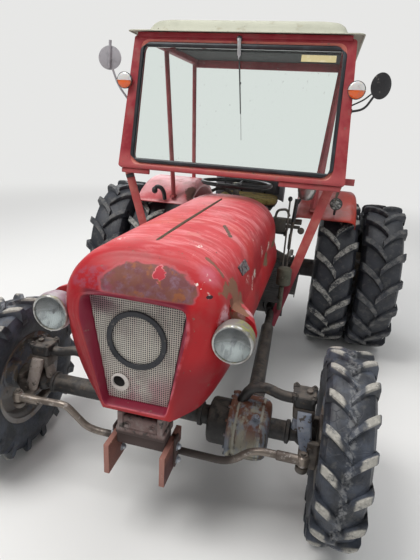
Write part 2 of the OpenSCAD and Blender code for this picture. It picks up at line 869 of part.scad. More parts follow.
// how far a lug reaches past the tyre's middle, measured along it
lug_over = 20;
// One lug about the wheel's axis: its outline in the plane along it, w wide, swept back.
module lug(r, half, depth, w) {
    l = (half - w / 2 * sin(lug_sweep)) / cos(lug_sweep);
    // the top at s along the lug, so that its corners reach the tyre's radius
    function top(s) = sqrt(r * r - pow(s * sin(lug_sweep) + w / 2 * cos(lug_sweep), 2));
    rotate([0, 0, lug_sweep]) rotate([90, 0, 0]) linear_extrude(w, center = true)
        polygon([[-lug_over, r - depth - lug_sink], [-lug_over, top(lug_over)], [l * 0.5, top(l * 0.5)],
            [l * 0.86, top(l * 0.86) - depth * 0.2], [l, top(l) - depth], [l, top(l) - depth * 3],
            [l * 0.86, top(l) - depth * 3]]);
}

// The carcass with count lugs on each side of its middle, the two rows staggered.
module tyre(r, w, bead, count, depth, lug_w) {
    tread = r - depth;
    x_revolve() {
        translate([(tread + bead + 40) / 2, 0]) round_rect(tread - bead - 40, w - 2, 34);
        translate([bead + 45, 0]) square([90, w * 0.72], center = true);
    }
    for (side = [0, 1], i = [0 : count - 1])
        mirror([side, 0, 0]) rotate([(i + side / 2) * 360 / count, 0, 0]) lug(r, w / 2, depth, lug_w);
}

module front_tyre(left) {
    color(black) from_rear_axle() on_side(left)
        translate([front_track_x, front_axle_y, front_z])
            tyre(front_tyre_r, front_tyre_w, front_bead_r, front_lugs, front_lug_depth, front_lug_w);
}

module front_tyre_left() {
    front_tyre(true);
}

module front_tyre_right() {
    front_tyre(false);
}

module rear_tyre(left) {
    color(black) from_rear_axle() on_side(left) for (x = [rear_inner_x, rear_twin_x])
        translate([x, 0, rear_z])
            tyre(rear_tyre_r, rear_tyre_w, rear_bead_r, rear_lugs, rear_lug_depth, rear_lug_w);
}

module rear_tyre_left() {
    rear_tyre(true);
}

module rear_tyre_right() {
    rear_tyre(false);
}

// A rim's barrel with its two flanges, w wide.
module rim_section(bead, w) {
    translate([bead - 12, -w / 2]) square([12 - eps, w]);
    for (s = [-1, 1]) translate([bead - 12, s * (w / 2 + 4) - 4]) square([28, 8]);
}

module front_rim(left) {
    w = front_tyre_w * 0.72;
    color(grey) from_rear_axle() on_side(left) translate([front_track_x, front_axle_y, front_z])
        x_revolve() {
            rim_section(front_bead_r, w);
            polygon([[60, 30], [130, 30], [front_bead_r - 8, 8], [front_bead_r - 8, 18],
                [134, 40], [60, 40]]);
            translate([25 + pin_gap, -18]) square([40, 66]);
        }
}

module front_rim_left() {
    front_rim(true);
}

module front_rim_right() {
    front_rim(false);
}

module rear_rim(left) {
    w = rear_tyre_w * 0.72;
    reach = rear_twin_x - rear_inner_x;
    color(grey) from_rear_axle() on_side(left) translate([rear_inner_x, 0, rear_z]) x_revolve() {
        for (u = [0, reach]) translate([0, u]) {
            rim_section(rear_bead_r, w);
        }
        polygon([[90, 30], [170, 30], [rear_bead_r - 8, 60], [rear_bead_r - 8, 72], [170, 42], [90, 42]]);
        translate([0, reach - 102]) polygon([[90, 30], [170, 30], [rear_bead_r - 8, 60],
            [rear_bead_r - 8, 72], [170, 42], [90, 42]]);
        translate([150, 36]) square([20, reach - 102]);
        translate([40 + pin_gap, -5]) square([60, 47]);
    }
}

module rear_rim_left() {
    rear_rim(true);
}

module rear_rim_right() {
    rear_rim(false);
}

tie_low_z = 324;
tie_bend_in = 330;
tie_bend_out = 430;
tie_r = 14;

module tie_rod() {
    y = front_axle_y - tie_arm;
    color(grey) from_rear_axle() difference() {
        union() {
            bent_rod([[-kingpin_x, y, tie_z], [-tie_bend_out, y, tie_z], [-tie_bend_in, y, tie_low_z],
                [tie_bend_in, y, tie_low_z], [tie_bend_out, y, tie_z], [kingpin_x, y, tie_z]], tie_r);
            for (s = [-1, 1]) translate([s * kingpin_x, y, tie_z - 13]) cylinder(h = 26, r = 20);
        }
        for (s = [-1, 1]) translate([s * kingpin_x, y, tie_z - 30]) cylinder(h = 60, r = 9 + pin_gap);
    }
}

// Three point hitch, symmetric about the middle
link_x = 210;
link_end_x = 340;
ball_hole_r = 11.2;

module lower_links() {
    color(grease) from_rear_axle() both_sides() {
        y = link_pin_y;
        z = link_pin_z;
        x_lift = link_x + (link_end_x - link_x) * lift_pin_l / link_l;
        difference() {
            union() {
                x_disc([link_x, y, z], 32, 24);
                bar([link_x, y + 10, z], [link_end_x, y + link_l - 10, z], 60, 18, 90);
                x_disc([link_end_x, y + link_l, z], 30, 36);
                x_disc([x_lift + 12, y + lift_pin_l, z], 16, 30);
                x_disc([x_lift + 34, y + lift_pin_l, z], 10, 40);
            }
            x_disc([link_x, y, z], 16 + pin_gap, 60);
            x_disc([link_end_x, y + link_l, z], ball_hole_r, 80);
        }
    }
}

module lift_arms() {
    color(grease) from_rear_axle() {
        y = link_pin_y;
        z = link_pin_z + lift_h;
        x_lift = link_x + (link_end_x - link_x) * lift_pin_l / link_l + 44;
        both_sides() difference() {
            union() {
                x_disc([x_lift - 24, y, z], 34, 24);
                bar([x_lift - 24, y, z], [x_lift - 24, y + lift_pin_l, z], 50, 20, 90);
                x_disc([x_lift - 24, y + lift_pin_l, z], 24, 20);
                x_disc([x_lift - 4, y + lift_pin_l, z], 10, 44);
            }
            x_disc([x_lift - 24, y, z], 22 + pin_gap, 60);
        }
    }
}

module lift_rods() {
    color(grease) from_rear_axle() {
        x_lift = link_x + (link_end_x - link_x) * lift_pin_l / link_l + 44;
        y = link_pin_y + lift_pin_l;
        both_sides() difference() {
            union() {
                for (z = [link_pin_z, link_pin_z + lift_h]) x_disc([x_lift, y, z], 22, 18);
                rod([x_lift, y, link_pin_z + 14], [x_lift, y, link_pin_z + lift_h - 14], 8);
                rod([x_lift, y, link_pin_z + 120], [x_lift, y, link_pin_z + 260], 15);
            }
            for (z = [link_pin_z, link_pin_z + lift_h]) x_disc([x_lift, y, z], 10 + pin_gap, 60);
        }
    }
}

draw_z = 330;
draw_y = 560;

module hitch_frame() {
    color(grease) from_rear_axle() {
        y = link_pin_y;
        z = link_pin_z;
        x_lift = link_x + (link_end_x - link_x) * lift_pin_l / link_l + 20;
        x_disc([0, y, z], 16, 2 * (link_x + 22));
        box([-150, 170 + seat, z - 36], [150, y + 24, z + 20]);
        x_disc([0, y, z + lift_h], 22, 2 * (x_lift + 16));
        box([-150, 170 + seat, z + lift_h - 50], [150, y + 30, z + lift_h + 40]);
        difference() {
            union() {
                box([-40, y - 20, draw_z - 12], [40, draw_y, draw_z + 12]);
                translate([0, draw_y, draw_z - 12]) cylinder(h = 24, r = 40);
                box([-40, y - 20, draw_z], [40, y + 20, z - 30]);
            }
            translate([0, draw_y, draw_z - 20]) cylinder(h = 40, r = 15);
        }
        difference() {
            union() {
                box([-28, y + 25, z + lift_h - 130], [-14, y + 90, z + lift_h - 40]);
                box([14, y + 25, z + lift_h - 130], [28, y + 90, z + lift_h - 40]);
            }
            x_disc([0, y + 68, z + lift_h - 85], 10, 80);
        }
    }
}

module exhaust() {
    color(steel) from_rear_axle() {
        bent_rod([[-engine_half_w - seat, -1300, 700], [-220, -1300, 700], [-268, -1250, 520],
            [-268, -1120, 500]], 22);
        rod([-268, -1140, 500], [-268, -700, 500], 52);
        rod([-268, -705, 500], [-268, -560, 500], 20);
    }
}

engine_block();
radiator();
gearbox_housing();
rear_axle_housing();
front_frame();
front_plates();
hood();
grille_mesh();
grille_ring();
headlamp_bowls();
headlamp_lenses();
windscreen_panel();
windscreen_seal();
windscreen_glass();
cab_posts();
cab_struts();
cab_roof();
wiper();
indicator_lamps();
mirrors();
fenders();
fender_lamps();
footboards();
seat_frame();
seat_cushions();
dash_panel();
steering_wheel();
controls();
front_axle();
prop_shaft();
knuckle_left();
knuckle_right();
front_tyre_left();
front_tyre_right();
front_rim_left();
front_rim_right();
rear_tyre_left();
rear_tyre_right();
rear_rim_left();
rear_rim_right();
tie_rod();
lower_links();
lift_arms();
lift_rods();
hitch_frame();
exhaust();
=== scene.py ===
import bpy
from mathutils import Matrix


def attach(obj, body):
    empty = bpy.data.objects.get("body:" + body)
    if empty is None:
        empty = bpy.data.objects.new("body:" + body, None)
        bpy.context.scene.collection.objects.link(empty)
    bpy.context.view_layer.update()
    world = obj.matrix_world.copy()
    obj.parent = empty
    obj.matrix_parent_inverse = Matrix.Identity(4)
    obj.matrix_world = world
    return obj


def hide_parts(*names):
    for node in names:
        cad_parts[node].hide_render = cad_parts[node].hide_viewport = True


bl_info = {
    "name": "Vintage tractor looks",
    "version": (1, 0, 0),
    "blender": (4, 5, 0),
    "location": "View3D > Sidebar > Tractor",
    "description": "Dresses the tractor frame in worn sheet metal, castings, rubber and glass",
    "category": "Object",
}

import math

import bmesh
import bpy
import numpy as np
from bpy.props import BoolProperty, FloatProperty, FloatVectorProperty, IntProperty, PointerProperty
from mathutils import Matrix, Vector

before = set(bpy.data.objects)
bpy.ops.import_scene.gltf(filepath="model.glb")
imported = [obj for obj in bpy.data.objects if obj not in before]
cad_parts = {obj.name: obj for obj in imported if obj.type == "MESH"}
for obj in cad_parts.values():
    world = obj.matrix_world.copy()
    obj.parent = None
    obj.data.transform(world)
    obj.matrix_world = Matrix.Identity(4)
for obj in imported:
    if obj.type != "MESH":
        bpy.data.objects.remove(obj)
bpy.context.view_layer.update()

# Places are written in millimetres: to the tractor's left, behind the rear axle, above the ground.
# The sizes that follow are those of the solids
REAR_AXLE = 656.5
WHEELBASE = 1860.0
AXLE_Y = -WHEELBASE
FRONT_R = 388.0
REAR_R = 543.0
FRONT_TRACK = 756.0
REAR_TRACKS = (702.0, 1007.0)


def at(x, y, z):
    """A place in metres in the frame from millimetres measured at the rear axle."""
    return Vector((x, y + REAR_AXLE, z)) / 1000


X, Y, Z = (1, 0, 0), (0, 1, 0), (0, 0, 1)
# From the rear axle's middle, where some pieces are made, to the frame's origin and back
TO_ORIGIN = Matrix.Translation(-at(0, 0, 0))
FROM_ORIGIN = Matrix.Translation(at(0, 0, 0))


# Modelling helpers

def pick(*objs):
    """Selects only these objects and makes the first one active."""
    if bpy.context.mode != "OBJECT":
        bpy.ops.object.mode_set(mode="OBJECT")
    bpy.ops.object.select_all(action="DESELECT")
    for obj in objs:
        obj.select_set(True)
    bpy.context.view_layer.objects.active = objs[0]
    return objs[0]


def fresh():
    """Leaves nothing selected, ready for a new primitive."""
    if bpy.context.mode != "OBJECT":
        bpy.ops.object.mode_set(mode="OBJECT")
    bpy.ops.object.select_all(action="DESELECT")


def settle(name):
    """Puts the active object's place, turn and size into its mesh and names it."""
    obj = bpy.context.object
    pick(obj)
    bpy.ops.object.transform_apply(location=True, rotation=True, scale=True)
    obj.name = obj.data.name = name
    return obj


def modify(obj, kind, **settings):
    """Adds one modifier and applies it."""
    pick(obj)
    modifier = obj.modifiers.new(kind.title(), kind)
    for key, value in settings.items():
        setattr(modifier, key, value)
    bpy.ops.object.modifier_apply(modifier=modifier.name)
    return obj


def outward(obj, gap=0.00001):
    """Merges points closer than the gap and turns all faces outwards."""
    pick(obj)
    bpy.ops.object.mode_set(mode="EDIT")
    bpy.ops.mesh.select_all(action="SELECT")
    bpy.ops.mesh.remove_doubles(threshold=gap)
    bpy.ops.mesh.normals_make_consistent(inside=False)
    bpy.ops.object.mode_set(mode="OBJECT")
    return obj


def crest_up(obj):
    """Turns an open skin's faces over where its highest one looks down."""
    if max(obj.data.polygons, key=lambda p: p.center.z).normal.z < 0:
        obj.data.flip_normals()
    return obj


def linked(name, data):
    """A new object in the scene for this data."""
    obj = bpy.data.objects.new(name, data)
    bpy.context.scene.collection.objects.link(obj)
    return obj


def moved(obj, matrix):
    """Moves the mesh itself, so that the object stays at the origin."""
    obj.data.transform(matrix)
    if matrix.determinant() < 0:
        obj.data.flip_normals()
    return obj


def rounded(obj, width, segments=2, angle=32):
    """Rounds the sharp edges by width in millimetres."""
    return modify(obj, "BEVEL", width=width / 1000, segments=segments, limit_method="ANGLE",
                  angle_limit=math.radians(angle), use_clamp_overlap=True)


def block(low, high, round_by=3.0, segments=2):
    """A box between two corners in millimetres, with rounded edges."""
    fresh()
    a, b = at(*low), at(*high)
    bpy.ops.mesh.primitive_cube_add(size=1, location=(a + b) / 2)
    bpy.context.object.scale = b - a
    obj = settle("block")
    return rounded(obj, round_by, segments) if round_by else obj


def drum(centre, axis, radius, length, round_by=2.0, sides=48):
    """A round bar about its centre along an axis, with rounded rims."""
    fresh()
    turn = Vector(axis).to_track_quat("Z", "Y").to_euler()
    bpy.ops.mesh.primitive_cylinder_add(vertices=sides, radius=radius / 1000, depth=length / 1000,
                                        location=at(*centre), rotation=turn)
    obj = settle("drum")
    return rounded(obj, round_by, 2, 50) if round_by else obj


def ball(centre, radius, stretch=(1, 1, 1), sides=24):
    """A round knob, stretched along the axes."""
    fresh()
    bpy.ops.mesh.primitive_uv_sphere_add(segments=sides, ring_count=sides // 2, radius=radius / 1000,
                                         location=at(*centre))
    bpy.context.object.scale = stretch
    return settle("ball")


def span(a, b):
    """The turn that takes Z along the way from a to b, as the part's own bars are laid."""
    way = (b - a).normalized()
    return (Matrix.Translation(a) @ Matrix.Rotation(math.atan2(way.y, way.x), 4, "Z")
            @ Matrix.Rotation(math.acos(max(-1, min(1, way.z))), 4, "Y"))


def bar(a, b, width, thick, turn=0.0, round_by=1.5):
    """A flat bar from a to b, width by thick, turned about its length in degrees."""
    fresh()
    start, end = at(*a), at(*b)
    length = (end - start).length
    bpy.ops.mesh.primitive_cube_add(size=1, location=(0, 0, length / 2))
    bpy.context.object.scale = (thick / 1000, width / 1000, length)
    obj = settle("bar")
    moved(obj, span(start, end) @ Matrix.Rotation(math.radians(turn), 4, "Z"))
    return rounded(obj, round_by) if round_by else obj


def eased(points, radius, steps=5):
    """The same path with its corners rounded by radius in millimetres."""
    spots = [at(*p) for p in points]
    path = [spots[0]]
    for before, here, after in zip(spots, spots[1:], spots[2:]):
        reach = min(radius / 1000, (here - before).length * 0.48, (after - here).length * 0.48)
        start, end = here + (before - here).normalized() * reach, here + (after - here).normalized() * reach
        path += [start.lerp(here, t).lerp(here.lerp(end, t), t)
                 for t in (i / steps for i in range(steps + 1))]
    return path + [spots[-1]]


def tube(points, radius, bend=0.0, sides=4):
    """A round rod or pipe along points in millimetres."""
    fresh()
    path = eased(points, bend) if bend else [at(*p) for p in points]
    curve = bpy.data.curves.new("tube", "CURVE")
    curve.dimensions = "3D"
    curve.bevel_depth = radius / 1000
    curve.bevel_resolution = sides
    curve.use_fill_caps = True
    line = curve.splines.new("POLY")
    line.points.add(len(path) - 1)
    for point, place in zip(line.points, path):
        point.co = (*place, 1)
    pick(linked("tube", curve))
    bpy.ops.object.convert(target="MESH")
    return outward(bpy.context.object)


def shell(points, faces):
    """A mesh from points in metres and faces."""
    data = bpy.data.meshes.new("shell")
    data.from_pydata([tuple(p) for p in points], [], faces)
    return linked("shell", data)


def loft(loops, closed=True, caps=False, lid=False, around=False):
    """A skin over loops of equally many points; caps closes both ends, lid the last, around joins them."""
    count, rows = len(loops[0]), len(loops)
    faces = []
    for i in range(rows if around else rows - 1):
        for j in range(count if closed else count - 1):
            k, n = (j + 1) % count, (i + 1) % rows
            faces.append((i * count + j, i * count + k, n * count + k, n * count + j))
    if caps:
        faces.append(tuple(range(count - 1, -1, -1)))
    if caps or lid:
        faces.append(tuple((rows - 1) * count + j for j in range(count)))
    return outward(shell([p for loop in loops for p in loop], faces))


def stacked(rows, radius, arc=4):
    """A solid through rounded rectangles lying flat, each row (x, y, z, half x, half y), in millimetres."""
    loops = []
    for x, y, z, wide, deep in rows:
        corners = ((x - wide, y - deep), (x + wide, y - deep), (x + wide, y + deep), (x - wide, y + deep))
        edge = corner_loop(corners, min(radius, wide * 0.98, deep * 0.98), arc, 1)
        loops.append([at(p.x, p.y, z) for p in edge])
    return loft(loops, caps=True)


def facing(axis):
    """The turn that takes Z along an axis."""
    return Vector(axis).to_track_quat("Z", "Y").to_matrix().to_4x4()


def turned(profile, centre, axis, steps=64, ring=False):
    """Spins a profile of (radius, along) in millimetres about an axis through centre."""
    points = [(r / 1000, 0, a / 1000) for r, a in profile]
    edges = [(i, i + 1) for i in range(len(points) - 1)] + ([(len(points) - 1, 0)] if ring else [])
    data = bpy.data.meshes.new("turned")
    data.from_pydata(points, edges, [])
    obj = pick(linked("turned", data))
    bpy.ops.object.mode_set(mode="EDIT")
    bpy.ops.mesh.select_all(action="SELECT")
    bpy.ops.mesh.spin(steps=steps, angle=2 * math.pi, center=(0, 0, 0), axis=Z)
    outward(obj, 0.00002)
    return moved(obj, Matrix.Translation(at(*centre)) @ facing(axis))


def joined(*objs):
    """Joins objects into the first one."""
    pick(*objs)
    if len(objs) > 1:
        bpy.ops.object.join()
    return bpy.context.object


def copied(obj, matrix):
    """A copy with a mesh of its own, moved by the matrix."""
    twin = obj.copy()
    twin.data = obj.data.copy()
    bpy.context.scene.collection.objects.link(twin)
    return moved(twin, matrix)


MIRROR = Matrix.Scale(-1, 4, X)
SIDES = ((1, "left"), (-1, "right"))


def both(obj):
    """The object and its mirror image on the other side, joined."""
    return joined(obj, copied(obj, MIRROR))


def cut(obj, cutter):
    """Cuts one solid out of another."""
    pick(obj)
    modifier = obj.modifiers.new("Cut", "BOOLEAN")
    modifier.operation, modifier.solver, modifier.object = "DIFFERENCE", "EXACT", cutter
    bpy.ops.object.modifier_apply(modifier=modifier.name)
    bpy.data.objects.remove(cutter)
    return obj


def bolts(places, axis, radius, height, washer=True):
    """Hexagon heads on washers at places in millimetres, all along one axis."""
    fresh()
    bpy.ops.mesh.primitive_cylinder_add(vertices=6, radius=radius / 1000, depth=height / 1000,
                                        location=(0, 0, height / 2000 + (0.0015 if washer else 0)))
    head = rounded(settle("head"), radius * 0.12, 1, 40)
    if washer:
        bpy.ops.object.select_all(action="DESELECT")
        bpy.ops.mesh.primitive_cylinder_add(vertices=20, radius=radius * 1.45 / 1000, depth=0.003,
                                            location=(0, 0, 0))
        head = joined(head, settle("washer"))
    made = [copied(head, Matrix.Translation(at(*p)) @ facing(axis) @ Matrix.Rotation(0.7 * i, 4, "Z"))
            for i, p in enumerate(places)]
    bpy.data.objects.remove(head)
    return joined(*made)


def ring_of(count, radius, along, centre, axis, start=0.0):
    """Places evenly round an axis through centre, that far along it."""
    found = []
    for i in range(count):
        a = start + 2 * math.pi * i / count
        c, s = radius * math.cos(a), radius * math.sin(a)
        step = {"X": (along, c, s), "Y": (c, along, s), "Z": (c, s, along)}[axis]
        found.append(tuple(p + q for p, q in zip(centre, step)))
    return found


def corner_loop(corners, radius, arc=8, side=6):
    """A closed outline in a plane: straight sides between corners rounded by radius."""
    count = len(corners)
    out = []
    for i, here in enumerate(corners):
        h, b, n = Vector(here), Vector(corners[i - 1]), Vector(corners[(i + 1) % count])
        to_b, to_n = (b - h).normalized(), (n - h).normalized()
        half = math.acos(max(-1, min(1, to_b.dot(to_n)))) / 2
        reach = radius / math.tan(half)
        middle = h + (to_b + to_n).normalized() * (radius / math.sin(half))
        start, end = h + to_b * reach - middle, h + to_n * reach - middle
        a0, a1 = math.atan2(start.y, start.x), math.atan2(end.y, end.x)
        while a1 - a0 > math.pi:
            a1 -= 2 * math.pi
        while a1 - a0 < -math.pi:
            a1 += 2 * math.pi
        angles = [a0 + (a1 - a0) * t / arc for t in range(arc + 1)]
        out += [middle + Vector((math.cos(a), math.sin(a))) * radius for a in angles]
        last = out[-1]
        after = Vector(corners[(i + 2) % count])
        half_n = math.acos(max(-1, min(1, (h - n).normalized().dot((after - n).normalized())))) / 2
        stop = n + (h - n).normalized() * (radius / math.tan(half_n))
        out += [last.lerp(stop, t / (side + 1)) for t in range(1, side + 1)]
    return out


def piece(obj, name, body, finish, stands_for=(), smooth=35.0):
    """Names a finished piece, gives it its finish and lets it move with a body."""
    obj.name = obj.data.name = name
    finishes = finish if isinstance(finish, (list, tuple)) else [finish]
    if len(finishes) == 1:
        obj.data.materials.clear()
    for one in finishes:
        obj.data.materials.append(one)
    pick(obj)
    if smooth:
        bpy.ops.object.shade_smooth_by_angle(angle=math.radians(smooth))
    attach(obj, body)
    if stands_for:
        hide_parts(*stands_for)
    return obj


# Finishes

class Finish:
    """A procedural finish built in layers over Object coordinates."""

    def __init__(self, name, colour, roughness, **values):
        self.material = bpy.data.materials.new(name)
        self.material.use_nodes = True
        self.tree = self.material.node_tree
        self.shader = self.tree.nodes["Principled BSDF"]
        coords = self.tree.nodes.new("ShaderNodeTexCoord")
        self.place, self.facing = coords.outputs["Object"], coords.outputs["Normal"]
        self.colour, self.roughness, self.heights = (*colour, 1.0), roughness, []
        for key, value in values.items():
            self.shader.inputs[key.replace("_", " ")].default_value = value
        self.metal = None

    def node(self, kind, inputs=None, **settings):
        """Adds a node; an input is a number, a colour or another node's output."""
        made = self.tree.nodes.new(kind)
        for key, value in settings.items():
            setattr(made, key, value)
        for key, value in (inputs or {}).items():
            if isinstance(value, bpy.types.NodeSocket):
                self.tree.links.new(value, made.inputs[key])
            else:
                made.inputs[key].default_value = value
        return made

    def math(self, kind, a, b=0.0):
        """A sum, product or the like of two values."""
        return self.node("ShaderNodeMath", {0: a, 1: b}, operation=kind).outputs[0]

    def vector(self, kind, a, b=(0, 0, 0), out=0):
        """The same for vectors; out is 1 where the result is a number."""
        return self.node("ShaderNodeVectorMath", {0: a, 1: b}, operation=kind).outputs[out]

    def stretched(self, stretch=(1, 1, 1), shift=(0, 0, 0)):
        """Object coordinates, stretched and shifted so that two patterns differ."""
        if stretch == (1, 1, 1) and shift == (0, 0, 0):
            return self.place
        return self.node("ShaderNodeMapping",
                         {"Vector": self.place, "Scale": stretch, "Location": shift}).outputs[0]

    def noise(self, scale, detail=3.0, rough=0.55, stretch=(1, 1, 1), shift=(0, 0, 0), warp=0.0):
        """Cloudy noise from 0 to 1."""
        inputs = {"Vector": self.stretched(stretch, shift), "Scale": scale, "Detail": detail,
                  "Roughness": rough, "Distortion": warp}
        return self.node("ShaderNodeTexNoise", inputs).outputs["Fac"]

    def cells(self, scale, kind="F1"):
        """Distances in a pattern of cells."""
        return self.node("ShaderNodeTexVoronoi", {"Vector": self.place, "Scale": scale},
                         feature=kind).outputs["Distance"]

    def step(self, value, low, high):
        """From 0 at low to 1 at high; high may be the smaller."""
        start, end = (1.0, 0.0) if high < low else (0.0, 1.0)
        inputs = {0: value, 1: min(low, high), 2: max(low, high), 3: start, 4: end}
        return self.node("ShaderNodeMapRange", inputs, interpolation_type="SMOOTHSTEP").outputs[0]

    def along(self, axis):
        """The place along an axis in metres: 0 to the tractor's left, 1 to its rear, 2 up."""
        return self.node("ShaderNodeSeparateXYZ", {0: self.place}).outputs[axis]

    def upward(self, low, high):
        """From 0 to 1 as the surface turns to face up."""
        up = self.node("ShaderNodeSeparateXYZ", {0: self.facing}).outputs[2]
        return self.step(up, low, high)

    def spot(self, centre, radii, edge=0.4, ragged=0.0, grain=30.0):
        """1 inside an ellipsoid about a place in millimetres, with a ragged edge."""
        here = self.place
        if ragged:
            cloud = self.node("ShaderNodeTexNoise", {"Vector": self.place, "Scale": grain, "Detail": 4.0})
            stir = self.vector("SUBTRACT", cloud.outputs["Color"], (0.5, 0.5, 0.5))
            stir = self.node("ShaderNodeVectorMath", {0: stir, "Scale": ragged / 1000 * 2},
                             operation="SCALE")
            here = self.vector("ADD", here, stir.outputs[0])
        away = self.vector("SUBTRACT", here, tuple(at(*centre)))
        away = self.vector("DIVIDE", away, tuple(r / 1000 for r in radii))
        reach = self.vector("LENGTH", away, out=1)
        return self.step(reach, 1.0, 1.0 - edge)

    def over(self, mask, colour=None, roughness=None, metal=None, share=1.0):
        """Lays a colour, roughness or metal over the finish where mask is 1, by that share."""
        if share < 1:
            mask = self.math("MULTIPLY", mask, share)
        if colour is not None:
            made = self.node("ShaderNodeMix", {0: mask, 6: self.colour}, data_type="RGBA")
            if isinstance(colour, bpy.types.NodeSocket):
                self.tree.links.new(colour, made.inputs[7])
            else:
                made.inputs[7].default_value = (*colour, 1.0)
            self.colour = made.outputs[2]
        if roughness is not None:
            self.roughness = self.node("ShaderNodeMix",
                                       {0: mask, 2: self.roughness, 3: roughness}).outputs[0]
        if metal is not None:
            start = self.shader.inputs["Metallic"].default_value if self.metal is None else self.metal
            self.metal = self.node("ShaderNodeMix", {0: mask, 2: start, 3: metal}).outputs[0]
        return self

    def patches(self, pattern, low, high, *layer, share=1.0):
        """Lays a colour, roughness or metal where a pattern goes from low to high."""
        return self.over(self.step(pattern, low, high), *layer, share=share)

    def relief(self, height, millimetres):
        """Adds a bump of that many millimetres."""
        self.heights.append((height, millimetres))
        return self

    def both(self, *masks):
        """1 only where all the masks are 1."""
        made = masks[0]
        for mask in masks[1:]:
            made = self.math("MULTIPLY", made, mask)
        return made

    def done(self):
        """Connects the layers to the shader and gives the material."""
        for key, value in (("Base Color", self.colour), ("Roughness", self.roughness),
                           ("Metallic", self.metal)):
            if isinstance(value, bpy.types.NodeSocket):
                self.tree.links.new(value, self.shader.inputs[key])
            elif value is not None:
                self.shader.inputs[key].default_value = value
        normal = None
        for height, deep in self.heights:
            inputs = {"Height": height, "Distance": deep / 1000, "Strength": 1.0}
            if normal:
                inputs["Normal"] = normal
            normal = self.node("ShaderNodeBump", inputs).outputs[0]
        if normal:
            self.tree.links.new(normal, self.shader.inputs["Normal"])
        return self.material


made_finishes = {}


def finish(maker, *args):
    """The material that a finish function makes, made once."""
    key = (maker.__name__, *args)
    if key not in made_finishes:
        made_finishes[key] = maker(*args)
    return made_finishes[key]


# Colours that several finishes share
BARE = (0.19, 0.115, 0.09)
OLIVE = (0.185, 0.115, 0.068)
TAN = (0.24, 0.115, 0.072)
WHITE_CHIP = (0.78, 0.72, 0.66)
DULL_PINK = (0.56, 0.50, 0.44)
SCRATCH = (0.15, 0.10, 0.08)
SOIL = (0.26, 0.22, 0.175)


def paint_wear(f, chips, dust):
    """Fine scuffs, chips and dust that all the painted sheet metal has."""
    f.patches(f.noise(7.0, 5.0, 0.6), 0.48, 0.72, (0.20, 0.13, 0.11), 0.62, share=dust)
    f.patches(f.noise(46.0, 6.0, 0.62), chips, chips + 0.05, BARE, 0.7, share=0.85)
    f.patches(f.noise(120.0, 2.0, 0.5, shift=(3, 1, 7)), 0.70, 0.74, (0.12, 0.05, 0.045), 0.7, share=0.6)
    f.relief(f.noise(9.0, 2.0, 0.5), 1.6)
    f.relief(f.noise(160.0, 3.0, 0.6), 0.12)
    return f


